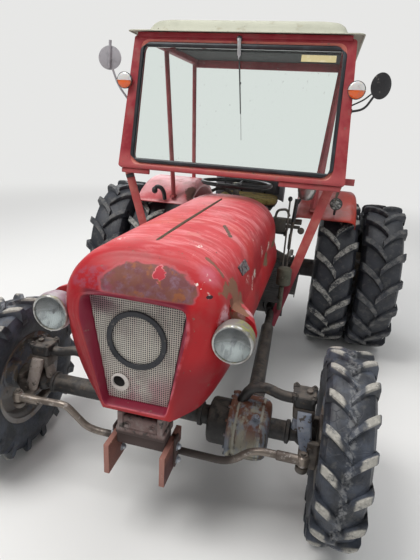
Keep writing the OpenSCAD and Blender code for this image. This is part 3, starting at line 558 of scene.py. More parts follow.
def hood_red():
    """Sun-bleached red over the hood, partly painted sheen on top, with painted shade in deep red low on the
    nose and sides, in the nose's recess and above the grille, and with its patches and scratches.
    """
    f = Finish("faded_red_paint", (0.33, 0.006, 0.013), 0.42, Specular_IOR_Level=0.28)
    f.patches(f.noise(3.2, 3.0, 0.5), 0.36, 0.66, (0.45, 0.011, 0.016))
    # Deep red low on the sides and nose: painted shade.
    low = f.both(f.step(f.along(2), 0.86, 0.74), f.step(f.math("ABSOLUTE", f.along(0)), 0.12, 0.16))
    f.over(low, (0.20, 0.004, 0.012), share=0.6)
    nose = f.step(f.along(1), at(0, -2120, 0).y, at(0, -2160, 0).y)
    # Darker wine red on faces turned inwards at the nose, such as the grille recess's walls: painted shade.
    out = f.vector("MULTIPLY", f.vector("SUBTRACT", f.place, tuple(at(0, 0, 815))), (1, 0, 1))
    inward_shade = f.step(f.vector("DOT_PRODUCT", out, f.facing, out=1), 0.004, -0.02)
    f.over(f.both(nose, inward_shade), (0.21, 0.012, 0.034), 0.5)
    # A darker band just above the grille's top edge: painted shade under the brow.
    band = f.both(f.step(f.along(2), 1.046, 1.036), f.step(f.along(2), 1.008, 1.014))
    band = f.both(band, nose, f.step(f.math("ABSOLUTE", f.math("ADD", f.along(0), 0.006)), 0.205, 0.165))
    f.over(band, (0.145, 0.007, 0.022), 0.5)
    # Lighter on upward faces towards the front: partly sun-bleached paint, partly painted sheen; the chalky
    # scuffs, warm patches and streaks stay on these faces.
    bleach_and_sheen = f.both(f.upward(0.15, 0.85), f.step(f.along(1), at(0, -2175, 0).y, at(0, -1950, 0).y))
    f.over(bleach_and_sheen, (0.68, 0.095, 0.105), 0.4, share=0.66)
    brush = f.noise(6.0, 6.0, 0.68, stretch=(1.0, 4.5, 1.4), warp=0.6)
    f.over(f.both(bleach_and_sheen, f.step(brush, 0.44, 0.66)), (0.82, 0.34, 0.36), 0.48, share=0.62)
    warm = f.noise(2.3, 2.0, 0.5, shift=(5, 2, 1))
    f.over(f.both(bleach_and_sheen, f.step(warm, 0.55, 0.72)), (0.60, 0.11, 0.045), share=0.55)
    streak = f.step(f.noise(38.0, 4.0, 0.7, stretch=(1, 0.16, 1)), 0.66, 0.74)
    f.over(f.both(bleach_and_sheen, streak), (0.80, 0.45, 0.43), 0.5, share=0.55)
    paint_wear(f, 0.66, 0.2)
    # Brown primer on the brow, with a pinkish rim and one red remnant
    above = f.step(f.along(2), 1.036, 1.046)
    rim = f.both(above, f.spot((34, -2160, 1064), (182, 90, 92), 0.06, 20, 24))
    f.over(rim, (0.42, 0.075, 0.085), 0.6)
    core = f.both(above, f.spot((36, -2160, 1062), (172, 86, 87), 0.07, 22, 24))
    f.over(core, (0.165, 0.055, 0.058), 0.68)
    mauve = f.both(above, f.spot((-150, -2160, 1062), (104, 70, 62), 0.3, 24, 26),
                   f.step(f.noise(44.0, 5.0, 0.7), 0.40, 0.56))
    f.over(mauve, (0.27, 0.062, 0.10), 0.62, share=0.62)
    # Pink along the nose frame's ridge: partly worn paint, partly painted highlight.
    ridge = f.both(f.step(f.along(1), at(0, -2196, 0).y, at(0, -2198.6, 0).y),
                   f.step(f.noise(14.0, 4.0, 0.6), 0.35, 0.6))
    left = f.both(f.step(f.along(0), 0.08, 0.10), f.step(f.along(2), 1.0, 0.97))
    ridge = f.both(ridge, f.math("MAXIMUM", left, f.step(f.along(2), 0.66, 0.60)))
    f.over(ridge, (0.62, 0.14, 0.17), 0.5, share=0.8)
    bloom = f.both(core, f.step(f.noise(30.0, 5.0, 0.7), 0.45, 0.68))
    f.over(bloom, (0.215, 0.115, 0.15), 0.72)
    brownish = f.both(core, f.step(f.noise(15.0, 3.0, 0.6, shift=(2, 5, 8)), 0.46, 0.60))
    f.over(brownish, (0.20, 0.075, 0.048), share=0.7)
    ochre = f.both(core, f.step(f.noise(22.0, 4.0, 0.6, shift=(9, 0, 3)), 0.56, 0.66))
    f.over(ochre, (0.30, 0.10, 0.035), share=0.7)
    f.over(f.spot((69, -2152, 1114), (24, 40, 25), 0.1, 22, 46), (0.62, 0.17, 0.19))
    f.over(f.spot((71, -2152, 1113), (21, 40, 22), 0.1, 22, 46), (0.42, 0.03, 0.045))
    f.over(f.spot((200, -2095, 1112), (84, 58, 50), 0.9, 30, 16), (0.60, 0.20, 0.27), 0.5, share=0.62)
    # Centre, radii, raggedness and colour of the bare patches, then a row of scratches and a rusty streak
    stains = [((262, -2060, 1060), (60, 64, 22), 26, TAN), ((288, -1985, 1012), (44, 50, 72), 24, TAN),
              ((282, -2050, 1000), (50, 26, 30), 18, (0.165, 0.055, 0.035)),
              ((300, -1915, 965), (30, 44, 34), 16, TAN), ((326, -2036, 972), (40, 54, 46), 18, TAN),
              ((348, -2010, 925), (30, 46, 56), 20, (0.62, 0.33, 0.35)),
              ((300, -870, 932), (14, 100, 36), 18, OLIVE), ((302, -1200, 915), (14, 80, 56), 22, OLIVE),
              ((296, -1090, 968), (14, 60, 30), 22, DULL_PINK),
              ((292, -1560, 958), (14, 56, 34), 22, DULL_PINK)]
    stains += [((156 + 9 * i, -1590 - 17 * i, 1160), (7 + i % 2, 24, 40), 3, SCRATCH) for i in range(6)]
    # A dark spot of painted shade stands for a small hole; then a pink chip.
    stains += [((241, -2150, 1063), (12, 20, 7), 2, (0.035, 0.015, 0.02)),
               ((90, -1840, 1184), (30, 20, 12), 8, (0.62, 0.20, 0.19))]
    stains += [((196 + 12 * i, -2032 - 2 * i, 1138 - 11 * i), (17, 18, 22), 8, (0.23, 0.11, 0.08))
               for i in range(5)]
    for centre, radii, ragged, tone in stains:
        f.over(f.spot(centre, radii, 0.12, ragged, 34), tone, 0.72)
    crescent = f.both(f.spot((318, -2120, 925), (112, 60, 112), 0.2, 14, 30),
                      f.step(f.along(2), 0.955, 0.985))
    f.over(f.both(crescent, f.step(f.noise(26.0, 4.0, 0.6), 0.38, 0.55)), (0.66, 0.36, 0.40), 0.6)
    for centre, radii in (((204, -2148, 1092), (22, 22, 12)), ((299, -1740, 990), (10, 50, 30)),
                          ((228, -2138, 1060), (26, 22, 18)), ((219, -2107, 1111), (20, 20, 10)),
                          ((150, -1960, 1172), (30, 22, 16)), ((300, -1330, 1000), (10, 26, 44)),
                          ((-150, -1990, 1168), (30, 30, 14)), ((262, -1450, 1080), (14, 18, 14)),
                          ((305, -1620, 940), (10, 22, 60))):
        ragged = f.both(f.spot(centre, radii, 0.5, 24, 60), f.step(f.noise(75.0, 3.0, 0.6), 0.52, 0.58))
        f.over(ragged, WHITE_CHIP, 0.6)
    return f.done()


def lamp_red(silver):
    """Worn paint on a lamp housing: brown grey with moss on the left, silver mauve on the right."""
    coat = (0.40, 0.36, 0.38) if silver else (0.175, 0.15, 0.14)
    f = Finish("lamp_housing_paint_%d" % silver, coat, 0.45)
    if silver:
        f.patches(f.noise(12.0, 3.0), 0.42, 0.66, (0.28, 0.17, 0.22), 0.5)
        f.patches(f.noise(30.0, 4.0), 0.56, 0.64, (0.55, 0.52, 0.52), share=0.7)
    else:
        f.patches(f.noise(30.0, 5.0, 0.65, shift=(4, 4, 1)), 0.50, 0.58, (0.20, 0.165, 0.15), 0.6)
        right = f.step(f.along(0), 0.325, 0.365)
        moss = f.both(f.upward(0.1, 0.6), f.step(f.noise(70.0, 4.0), 0.40, 0.56), right)
        f.over(moss, (0.24, 0.25, 0.07), 0.8, share=0.85)
    f.relief(f.noise(60.0, 4.0, 0.6), 0.5)
    return f.done()


def cab_red():
    """The cab's red, its base made deeper as painted shade, with worn, pinkish edges."""
    f = Finish("cab_red_paint", (0.24, 0.016, 0.026), 0.45, Specular_IOR_Level=0.32)
    f.patches(f.noise(5.0, 4.0, 0.6), 0.42, 0.68, (0.33, 0.045, 0.055), 0.5)
    f.patches(f.along(2), 1.42, 1.35, (0.48, 0.12, 0.12), 0.5, share=0.45)
    fade = f.both(f.upward(-0.2, 0.8), f.step(f.noise(14.0, 4.0, 0.6), 0.38, 0.62))
    f.over(fade, (0.50, 0.14, 0.12), 0.55, share=0.6)
    paint_wear(f, 0.64, 0.35)
    scrape = f.step(f.noise(30.0, 5.0, 0.7, stretch=(1, 1, 0.4), shift=(2, 5, 2)), 0.66, 0.70)
    f.over(scrape, (0.20, 0.15, 0.13), 0.7, share=0.7)
    return f.done()


def strut_red():
    """The slanting struts: bleached salmon above, wine red towards their feet."""
    f = Finish("strut_faded_paint", (0.42, 0.062, 0.062), 0.5)
    f.patches(f.noise(9.0, 4.0, 0.6), 0.44, 0.66, (0.50, 0.13, 0.11), 0.55)
    f.patches(f.along(2), 0.86, 0.60, (0.21, 0.015, 0.034), 0.45)
    return paint_wear(f, 0.66, 0.2).done()


def clear_lens():
    """The fender lamp's opaque lens: dark for the bowl behind clear glass, with a bright middle of painted
    reflection.
    """
    f = Finish("fender_lamp_lens", (0.06, 0.062, 0.06), 0.12)
    f.patches(f.noise(30.0, 4.0, 0.6, stretch=(1, 1, 2)), 0.44, 0.60, (0.36, 0.37, 0.35), 0.2)
    return f.done()


def flange_red():
    """The windscreen's inner flange, bleached to orange pink."""
    f = Finish("flange_pink_paint", (0.56, 0.155, 0.115), 0.5)
    f.patches(f.noise(8.0, 4.0, 0.6), 0.45, 0.68, (0.52, 0.10, 0.10))
    f.patches(f.noise(34.0, 5.0, 0.65), 0.60, 0.66, (0.30, 0.17, 0.13), 0.7)
    f.relief(f.noise(90.0, 3.0), 0.2)
    return f.done()


def fender_red(pale):
    """Fender paint: bleached and patched with rust on the right, red with a grey patch on the left."""
    coat = (0.50, 0.05, 0.06) if pale else (0.33, 0.035, 0.03)
    f = Finish("fender_paint_%d" % pale, coat, 0.4, Coat_Weight=0.2, Coat_Roughness=0.25)
    if pale:
        chalk = f.both(f.upward(-0.1, 0.6), f.step(f.noise(5.0, 4.0, 0.55), 0.34, 0.58))
        f.over(chalk, (0.70, 0.33, 0.35), 0.5, share=0.85)
        f.patches(f.noise(9.0, 4.0, 0.6, shift=(1, 7, 3)), 0.60, 0.68, (0.50, 0.03, 0.045))
        f.over(f.spot((-350, -310, 1130), (104, 150, 104), 0.12, 36, 18), (0.15, 0.065, 0.05), 0.7)
    else:
        f.patches(f.along(0), 0.66, 0.72, (0.46, 0.030, 0.012))
        f.over(f.both(f.upward(0.5, 0.95), f.step(f.noise(6.0, 3.0), 0.44, 0.60)), (0.44, 0.18, 0.18), 0.5)
        f.over(f.spot((640, -490, 1062), (44, 60, 22), 0.5, 20, 30), (0.26, 0.22, 0.15), 0.65)
        f.over(f.spot((770, -330, 1150), (50, 90, 30), 0.5, 20, 30), (0.60, 0.36, 0.38), 0.6)
    paint_wear(f, 0.65, 0.45)
    return f.done()


def roof_cream():
    """Weathered cream with spots of dirt and moss."""
    f = Finish("roof_cream_paint", (0.40, 0.405, 0.325), 0.65)
    f.patches(f.noise(5.0, 4.0, 0.6), 0.42, 0.7, (0.33, 0.335, 0.265))
    f.patches(f.noise(16.0, 6.0, 0.66), 0.56, 0.66, (0.30, 0.28, 0.20), 0.75, share=0.75)
    f.patches(f.noise(60.0, 4.0, 0.6), 0.68, 0.71, (0.12, 0.10, 0.07), 0.8)
    f.relief(f.noise(60.0, 4.0, 0.6), 0.4)
    return f.done()


BLACK, GREY, BROWN = range(3)
IRON_TONES = ((0.022, 0.021, 0.021), (0.045, 0.042, 0.042), (0.075, 0.064, 0.055))


def greasy_iron(tone):
    """Iron in one of three tones under old grease, dust on what faces up."""
    base = IRON_TONES[tone]
    f = Finish("greasy_iron_%d" % tone, base, 0.46)
    f.patches(f.noise(13.0, 5.0, 0.62), 0.44, 0.68, tuple(c * 2.3 + 0.012 for c in base), 0.62)
    f.patches(f.noise(24.0, 5.0, 0.65, shift=(3, 8, 1)), 0.56, 0.66, (0.115, 0.085, 0.062), 0.8, share=0.7)
    dusty = f.both(f.upward(0.25, 0.9), f.step(f.noise(34.0, 4.0, 0.6), 0.34, 0.62))
    f.over(dusty, (0.17, 0.145, 0.12), 0.85, share=0.6)
    f.relief(f.noise(70.0, 5.0, 0.65), 1.1)
    f.relief(f.noise(16.0, 3.0, 0.5), 2.2)
    return f.done()


def muddy_paint(rust):
    """Bluish grey paint on knuckles and rims under dried mud."""
    f = Finish("muddy_grey_paint_%d" % rust, (0.175, 0.195, 0.235), 0.5)
    f.patches(f.noise(11.0, 4.0, 0.6), 0.45, 0.66, (0.11, 0.115, 0.13), 0.6)
    f.patches(f.noise(18.0, 6.0, 0.68, shift=(2, 2, 9)), 0.47, 0.60, SOIL, 0.88)
    f.patches(f.noise(40.0, 5.0, 0.6, shift=(7, 1, 1)), 0.60, 0.66, (0.40, 0.38, 0.36), 0.8)
    if rust:
        f.patches(f.noise(14.0, 5.0, 0.6, shift=(6, 6, 2)), 0.56, 0.64, (0.17, 0.085, 0.05), 0.85,
                  share=0.8)
    low = f.both(f.step(f.along(2), 0.42, 0.28),
                 f.step(f.noise(12.0, 5.0, 0.6, shift=(3, 3, 3)), 0.28, 0.44))
    f.over(low, (0.33, 0.315, 0.30), 0.85, share=0.85)
    high = f.both(f.step(f.along(2), 0.44, 0.54),
                  f.step(f.noise(12.0, 5.0, 0.6, shift=(4, 9, 3)), 0.38, 0.52))
    f.over(high, (0.085, 0.06, 0.032), 0.85, share=0.8)
    f.relief(f.noise(60.0, 5.0, 0.65), 1.6)
    return f.done()


def drum_paint():
    """Blue grey paint on the drum, run through with cream, dirt and rust down from its top."""
    down = (1.5, 1.5, 0.32)
    f = Finish("drum_worn_paint", (0.19, 0.215, 0.26), 0.55)
    f.patches(f.noise(13.0, 5.0, 0.62, down), 0.44, 0.60, (0.30, 0.285, 0.225), 0.65)
    f.patches(f.noise(22.0, 5.0, 0.66, down, (5, 5, 5)), 0.53, 0.62, (0.105, 0.085, 0.07), 0.8)
    high = f.step(f.along(2), 0.36, 0.47)
    f.over(f.both(high, f.step(f.noise(14.0, 4.0, 0.6, down, (1, 3, 8)), 0.42, 0.56)), (0.155, 0.06, 0.035),
           0.8)
    for seam in (0.336, 0.438):
        line = f.step(f.math("ABSOLUTE", f.math("SUBTRACT", f.along(0), seam)), 0.006, 0.003)
        f.over(f.both(line, f.step(f.noise(30.0, 3.0), 0.36, 0.5)), (0.36, 0.35, 0.29), 0.6)
    low = f.step(f.along(2), 0.34, 0.27)
    f.over(f.both(low, f.step(f.noise(20.0, 5.0, 0.6, shift=(8, 3, 8)), 0.40, 0.56)), (0.075, 0.062, 0.052),
           0.8)
    f.relief(f.noise(50.0, 5.0, 0.65), 1.3)
    return f.done()


def primer_brown():
    """Flat brown primer, worn pinkish along the plates' narrow edges."""
    f = Finish("brown_primer", (0.155, 0.058, 0.043), 0.62)
    f.patches(f.noise(30.0, 4.0, 0.6), 0.45, 0.66, (0.20, 0.082, 0.062), 0.7)
    side = f.node("ShaderNodeSeparateXYZ", {0: f.facing}).outputs[0]
    f.over(f.both(f.step(f.along(0), 0.06, 0.09), f.step(f.along(2), 0.40, 0.36)), (0.085, 0.032, 0.030),
           0.6)
    edge = f.step(f.math("ABSOLUTE", side), 0.6, 0.25)
    f.over(edge, (0.36, 0.165, 0.13), 0.7, share=0.85)
    f.patches(f.noise(110.0, 3.0, 0.6), 0.66, 0.70, (0.42, 0.26, 0.20), 0.8)
    f.relief(f.noise(120.0, 3.0, 0.6), 0.25)
    return f.done()


def front_casting():
    """Pinkish primed castings in front, darker below and behind."""
    f = Finish("pinkish_front_casting", (0.20, 0.13, 0.12), 0.75)
    f.patches(f.noise(16.0, 5.0, 0.65), 0.42, 0.62, (0.27, 0.22, 0.21), 0.85)
    f.patches(f.noise(26.0, 5.0, 0.65, shift=(4, 2, 8)), 0.52, 0.62, (0.07, 0.06, 0.055), 0.8)
    f.patches(f.along(1), at(0, -2030, 0).y, at(0, -1930, 0).y, (0.05, 0.045, 0.042), 0.7)
    f.patches(f.along(2), 0.462, 0.446, (0.070, 0.046, 0.042), 0.75)
    f.relief(f.noise(50.0, 5.0, 0.7), 2.2)
    return f.done()


def tyre_rubber(radius, mud, y, tracks, half):
    """Bluish black rubber with dried mud on the outer part of the lugs, cracked and dusty between them."""
    f = Finish("tyre_rubber_%d" % radius, (0.020, 0.023, 0.030), 0.5)
    sheen = f.step(f.noise(9.0, 4.0, 0.6), 0.40, 0.68)
    f.over(sheen, (0.062, 0.073, 0.098) if mud else (0.030, 0.034, 0.045), 0.5)
    f.patches(f.noise(30.0, 5.0, 0.65), 0.52, 0.66, (0.10, 0.098, 0.094), 0.8, share=0.5)
    away = None
    for track in tracks:
        gap = f.math("ABSOLUTE", f.math("SUBTRACT", f.math("ABSOLUTE", f.along(0)), track / 1000))
        away = gap if away is None else f.math("MINIMUM", away, gap)
    flat = f.vector("MULTIPLY", f.vector("SUBTRACT", f.place, tuple(at(0, y, radius))), (0, 1, 1))
    far = f.vector("LENGTH", flat, out=1)
    crown = f.step(far, (radius - 15) / 1000, (radius - 7) / 1000)
    rough_edge = f.math("ADD", away, f.math("MULTIPLY", f.math("SUBTRACT", f.noise(26.0, 3.0), 0.5), 0.05))
    outer = f.step(rough_edge, half * 0.30 / 1000, half * 0.48 / 1000) if mud else 1.0
    patch = f.step(f.noise(24.0, 6.0, 0.68), 0.30 if mud else 0.42, 0.50 if mud else 0.62)
    tone = (0.36, 0.345, 0.31)
    if not mud:
        # The inner tyres' lugs are the paler ones
        inner_tyre = f.step(f.math("ABSOLUTE", f.along(0)), 0.86, 0.85)
        f.over(f.both(crown, patch), (0.13, 0.13, 0.128), 0.85)
        crown = f.both(crown, inner_tyre)
        tone = (0.33, 0.325, 0.30)
    f.over(f.both(crown, patch, outer), tone, 0.92, share=0.92)
    f.over(f.both(crown, outer, f.step(f.noise(90.0, 3.0, 0.6), 0.5, 0.6)), tuple(c * 1.35 for c in tone),
           0.9, share=0.5)
    if mud:
        strip = f.both(f.step(rough_edge, half * 0.24 / 1000, half * 0.10 / 1000),
                       f.step(f.noise(60.0, 5.0, 0.7), 0.42, 0.58))
        f.over(strip, (0.24, 0.245, 0.25), 0.85, share=0.6)
    f.relief(f.noise(110.0, 4.0, 0.6), 0.5)
    f.relief(f.step(f.cells(34.0, kind="DISTANCE_TO_EDGE"), 0.05, 0.0), -0.5)
    return f.done()


def knuckle_leg(side):
    """Light blue-grey paint on the left knuckle's legs, pale dried mud on the right one's."""
    name, coat, light = {1: ("left", (0.24, 0.28, 0.36), (0.33, 0.36, 0.42)),
                         -1: ("right", (0.30, 0.255, 0.225), (0.38, 0.33, 0.30))}[side]
    f = Finish("knuckle_leg_" + name, coat, 0.6)
    f.patches(f.noise(24.0, 5.0, 0.6), 0.44, 0.62, light, 0.75)
    f.patches(f.noise(34.0, 5.0, 0.65, shift=(5, 2, 2)), 0.56, 0.62, (0.10, 0.085, 0.075), 0.8)
    f.relief(f.noise(60.0, 5.0, 0.65), 1.4)
    return f.done()


def plain(name, colour, roughness, grain=80.0, deep=0.2, shade=0.7, **values):
    """A simple moulded, plated or painted finish with some dirt and grain."""
    f = Finish(name, colour, roughness, **values)
    f.patches(f.noise(22.0, 4.0, 0.6), 0.46, 0.7, tuple(c * shade for c in colour),
              min(1.0, roughness + 0.12))
    f.patches(f.noise(55.0, 4.0, 0.6), 0.62, 0.7, (0.20, 0.18, 0.155), 0.8, share=0.5)
    f.relief(f.noise(grain, 3.0, 0.6), deep)
    return f.done()


def black_paint():
    """Satin black on the left side lamp's base."""
    return plain("black_paint", (0.022, 0.022, 0.025), 0.42)


def ring_black():
    """The worn black of the grille's plain ring."""
    return plain("ring_black", (0.016, 0.018, 0.024), 0.5, 60.0, 0.35)


def black_plastic():
    """Dusty black plastic of the mirrors, knobs and small parts."""
    return plain("black_plastic", (0.018, 0.018, 0.02), 0.38, 200.0, 0.1)


def seal_rubber():
    """The windscreen's aged rubber seal."""
    f = Finish("seal_rubber", (0.013, 0.015, 0.019), 0.38)
    f.patches(f.noise(12.0, 4.0), 0.45, 0.68, (0.03, 0.036, 0.045), 0.5)
    f.relief(f.noise(90.0, 3.0), 0.2)
    return f.done()


def bright_steel():
    """Plated steel, dull and a little mossy on top."""
    f = Finish("bright_rim_steel", (0.46, 0.46, 0.45), 0.3, Metallic=0.85)
    f.patches(f.noise(24.0, 5.0, 0.6), 0.48, 0.62, (0.27, 0.26, 0.24), 0.5)
    f.over(f.both(f.upward(0.1, 0.7), f.step(f.noise(50.0, 4.0), 0.46, 0.6)), (0.25, 0.23, 0.10), 0.8, 0.1,
           share=0.7)
    return f.done()


def zinc():
    """The end plates' bright bolts."""
    f = Finish("zinc_bolts", (0.50, 0.53, 0.58), 0.36, Metallic=0.75)
    f.patches(f.noise(60.0, 4.0), 0.5, 0.66, (0.32, 0.33, 0.35), 0.55)
    return f.done()


def old_steel():
    """The tie rod's rubbed grey brown steel."""
    f = Finish("rubbed_steel", (0.23, 0.195, 0.165), 0.36, Metallic=0.55)
    f.patches(f.noise(12.0, 5.0, 0.6), 0.44, 0.62, (0.115, 0.092, 0.078), 0.5, 0.3)
    f.patches(f.noise(46.0, 4.0, 0.6, shift=(2, 8, 3)), 0.58, 0.66, (0.36, 0.33, 0.31), 0.5)
    f.over(f.both(f.step(f.along(0), 0.38, 0.33), f.step(f.along(0), -0.22, -0.18)), (0.060, 0.048, 0.042),
           0.6, 0.2)
    f.relief(f.noise(90.0, 4.0, 0.6), 0.4)
    return f.done()


def mirror_bowl():
    """The headlamp's reflector, with painted reflection: bright low down, with rays."""
    f = Finish("lamp_reflector", (0.17, 0.175, 0.175), 0.3, Metallic=0.35)
    f.patches(f.along(2), 0.925, 0.885, (0.66, 0.72, 0.71), 0.2)
    rays = f.node("ShaderNodeTexNoise",
                  {"Vector": f.stretched((1.0, 0.1, 0.35)), "Scale": 70.0, "Detail": 2.0}).outputs["Fac"]
    f.patches(rays, 0.5, 0.62, (0.20, 0.21, 0.22), 0.3, share=0.5)
    return f.done()


def lamp_glass():
    """Clear glass with upright flutes."""
    f = Finish("fluted_lamp_glass", (0.95, 0.97, 0.98), 0.04, Transmission_Weight=1.0, IOR=1.46)
    ribs = f.node("ShaderNodeTexWave",
                  {"Vector": f.place, "Scale": 42.0, "Distortion": 0.0}, wave_type="BANDS",
                  bands_direction="X").outputs["Fac"]
    f.relief(ribs, 0.35)
    return f.done()


def screen_glass():
    """The windscreen's thin green glass with dust flecks."""
    f = Finish("windscreen_glass", (0.86, 0.93, 0.90), 0.0, Transmission_Weight=1.0, IOR=1.42)
    dust = f.step(f.noise(7.0, 6.0, 0.7), 0.40, 0.72)
    f.roughness = f.math("MULTIPLY", dust, 0.05)
    fleck = f.both(f.step(f.noise(60.0, 4.0, 0.6, stretch=(1, 1, 0.6)), 0.66, 0.70),
                   f.step(f.noise(3.0, 2.0), 0.48, 0.60))
    f.over(fleck, (0.62, 0.66, 0.64), 0.3, share=0.75)
    return f.done()


def clear_and_amber():
    """One lens, clear above its middle and amber below."""
    f = Finish("clear_and_amber_lens", (0.72, 0.12, 0.018), 0.16, Coat_Weight=0.6, Coat_Roughness=0.08,
               Subsurface_Weight=0.15)
    f.patches(f.along(2), 1.7875, 1.7885, (0.62, 0.60, 0.585), 0.2)
    f.patches(f.noise(40.0, 4.0), 0.56, 0.68, (0.25, 0.19, 0.15), 0.5, share=0.4)
    f.relief(f.cells(190.0), 0.5)
    return f.done()


def mesh_metal():
    """Cream and silver mesh, stained red low down and mauve at its upper corner."""
    f = Finish("mesh_metal", (0.66, 0.62, 0.56), 0.45, Metallic=0.1)
    f.patches(f.noise(8.0, 4.0, 0.6), 0.44, 0.66, (0.50, 0.45, 0.41), 0.55)
    low = f.both(f.step(f.along(2), 0.78, 0.66), f.step(f.noise(9.0, 5.0, 0.65), 0.36, 0.60))
    f.over(low, (0.42, 0.13, 0.19), 0.6, 0.0, share=0.62)
    f.over(f.spot((-150, -2164, 985), (120, 40, 60), 0.8, 40, 12), (0.26, 0.15, 0.17), 0.6)
    f.over(f.spot((120, -2164, 650), (70, 40, 60), 0.8, 40, 12), (0.55, 0.40, 0.38), 0.6)
    return f.done()


def seat_grey():
    """Grey vinyl of the backrest."""
    return plain("seat_grey_vinyl", (0.085, 0.085, 0.095), 0.5, 240.0, 0.25, 0.75)


def old_foam():
    """Torn yellow foam, rusty and then black at its foot."""
    f = Finish("torn_foam", (0.30, 0.235, 0.07), 0.95)
    f.patches(f.noise(20.0, 5.0, 0.65), 0.45, 0.62, (0.15, 0.10, 0.035))
    f.patches(f.noise(14.0, 4.0, 0.6, shift=(4, 4, 4)), 0.56, 0.66, (0.05, 0.045, 0.04))
    f.patches(f.along(2), 1.044, 1.038, (0.16, 0.06, 0.02))
    f.patches(f.along(2), 1.037, 1.033, (0.018, 0.017, 0.016), 0.6)
    f.relief(f.noise(70.0, 5.0, 0.7), 5.0)
    return f.done()


def roof_lining():
    """The dark lining under the roof."""
    return plain("dark_roof_lining", (0.030, 0.031, 0.033), 0.75, 120.0, 0.3)


def sticker_cream():
    """The windscreen's blank yellowed sticker."""
    f = Finish("blank_sticker", (0.60, 0.53, 0.28), 0.45)
    f.patches(f.noise(30.0, 3.0), 0.5, 0.7, (0.68, 0.62, 0.42), 0.5)
    return f.done()


def badge_silver():
    """Flaked silver on the blank side badge."""
    f = Finish("blank_badge", (0.34, 0.33, 0.34), 0.35, Metallic=0.7)
    f.patches(f.noise(60.0, 5.0, 0.7), 0.46, 0.56, (0.04, 0.035, 0.04), 0.5, 0.0)
    f.patches(f.noise(90.0, 4.0, 0.7, shift=(3, 3, 3)), 0.60, 0.64, (0.45, 0.10, 0.11), 0.5, 0.0)
    return f.done()


# Sizes and colours that a user may change

class TractorSizes(bpy.types.PropertyGroup):
    """Sizes of the repeated details."""

    mesh_pitch: FloatProperty(name="Mesh pitch", description="Distance between the grille's holes",
                              default=0.008, min=0.004, max=0.02, subtype="DISTANCE", unit="LENGTH")
    mesh_hole: FloatProperty(name="Mesh hole", description="Width of one hole in the grille",
                             default=0.0056, min=0.002, max=0.018, subtype="DISTANCE", unit="LENGTH")
    lip_height: FloatProperty(name="Nose lip", description="Height of the rolled lip round the nose",
                              default=0.009, min=0.0, max=0.02, subtype="DISTANCE", unit="LENGTH")
    front_lugs: IntProperty(name="Front lugs", description="Lugs on each side of a front tyre",
                            default=18, min=8, max=40)
    rear_lugs: IntProperty(name="Rear lugs", description="Lugs on each side of a rear tyre",
                           default=17, min=8, max=40)
    front_lug_depth: FloatProperty(name="Front lug depth",
                                   description="Height of a front lug over the tread",
                                   default=0.024, min=0.005, max=0.04, subtype="DISTANCE", unit="LENGTH")
    rear_lug_depth: FloatProperty(name="Rear lug depth", description="Height of a rear lug over the tread",
                                  default=0.028, min=0.005, max=0.04, subtype="DISTANCE", unit="LENGTH")


class TractorStage(bpy.types.PropertyGroup):
    """The floor and the light."""

    floor_colour: FloatVectorProperty(name="Floor", description="Colour of the floor and backdrop",
                                      default=(0.80, 0.80, 0.79), subtype="COLOR", size=3, min=0, max=1)
    light_level: FloatProperty(name="Light level", description="Strength of all the lamps together",
                               default=1.0, min=0.1, max=3.0)
    show_floor: BoolProperty(name="Show floor",
                             description="Makes the floor and its backdrop", default=True)


# Hood

# y, half width, crest height, height of the widest level, half width at the edge, edge height
HOOD = ((-2190, 234, 1050, 945, 126, 576), (-2185, 250, 1068, 940, 132, 572),
        (-2172, 266, 1096, 935, 144, 572), (-2145, 284, 1130, 930, 172, 580),
        (-2100, 298, 1160, 925, 220, 602), (-2030, 303, 1180, 920, 254, 634),
        (-1910, 305, 1186, 918, 278, 662), (-1710, 305, 1186, 918, 292, 682),
        (-1481.5, 305, 1185, 918, 298, 694), (-773, 308, 1180, 918, 303, 704))
BELLY = 24
SIDE_STEPS, CREST_STEPS = 28, 48
SQUARENESS = 2 / 2.7
# The left headlamp's middle, and how far its housing reaches back into the fairing
LAMP = (333, -2178, 917)
CAN_END = 104
# Across and up: the plain ring, the crank hole, the grille's corners and the middle of its opening
RING = (-5, 863)
CRANK = (-73, 686)
GRILLE = ((-121, 607), (117, 608), (177, 1018), (-189, 1018))
GRILLE_MIDDLE = Vector((0, 815))
MESH_Y = -2162
# The nose frame's loops: share of the way inwards, place along the tractor, inset
NOSE_RIMS = ((0, -2190, 0), (0.16, -2191.5, 0), (0.34, -2192.5, 0), (0.48, -2195, 0), (0.60, -2198.5, 0),
             (0.68, -2199.5, 0), (0.76, -2198, 0), (0.84, -2192, 0), (0.92, -2181, 0), (1, -2168, 0),
             (1, -2158, 3), (1, -2150, 3))


def eased_step(value, low, high):
    """From 0 at low to 1 at high, level at both."""
    t = max(0.0, min(1.0, (value - low) / (high - low)))
    return t * t * (3 - 2 * t)


def hood_row(y):
    """The hood's section at y, eased between the rows of its table."""
    y = max(HOOD[0][0], min(HOOD[-1][0], y))
    i = max(k for k in range(len(HOOD) - 1) if HOOD[k][0] <= y)
    gap = HOOD[i + 1][0] - HOOD[i][0]
    t = (y - HOOD[i][0]) / gap

    def rise(k, c):
        """How steeply a column rises between two rows."""
        return (HOOD[k + 1][c] - HOOD[k][c]) / (HOOD[k + 1][0] - HOOD[k][0])

    def slope(k, c):
        """The column's slope at a row, level where it turns."""
        if k == 0:
            return rise(0, c)
        if k == len(HOOD) - 1:
            return rise(k - 1, c)
        a, b = rise(k - 1, c), rise(k, c)
        return 0 if a * b <= 0 else 2 * a * b / (a + b)

    out = [y]
    for c in range(1, 6):
        a, b, s, e = HOOD[i][c], HOOD[i + 1][c], slope(i, c) * gap, slope(i + 1, c) * gap
        out.append((2 * t**3 - 3 * t**2 + 1) * a + (t**3 - 2 * t**2 + t) * s
                   + (-2 * t**3 + 3 * t**2) * b + (t**3 - t**2) * e)
    return out


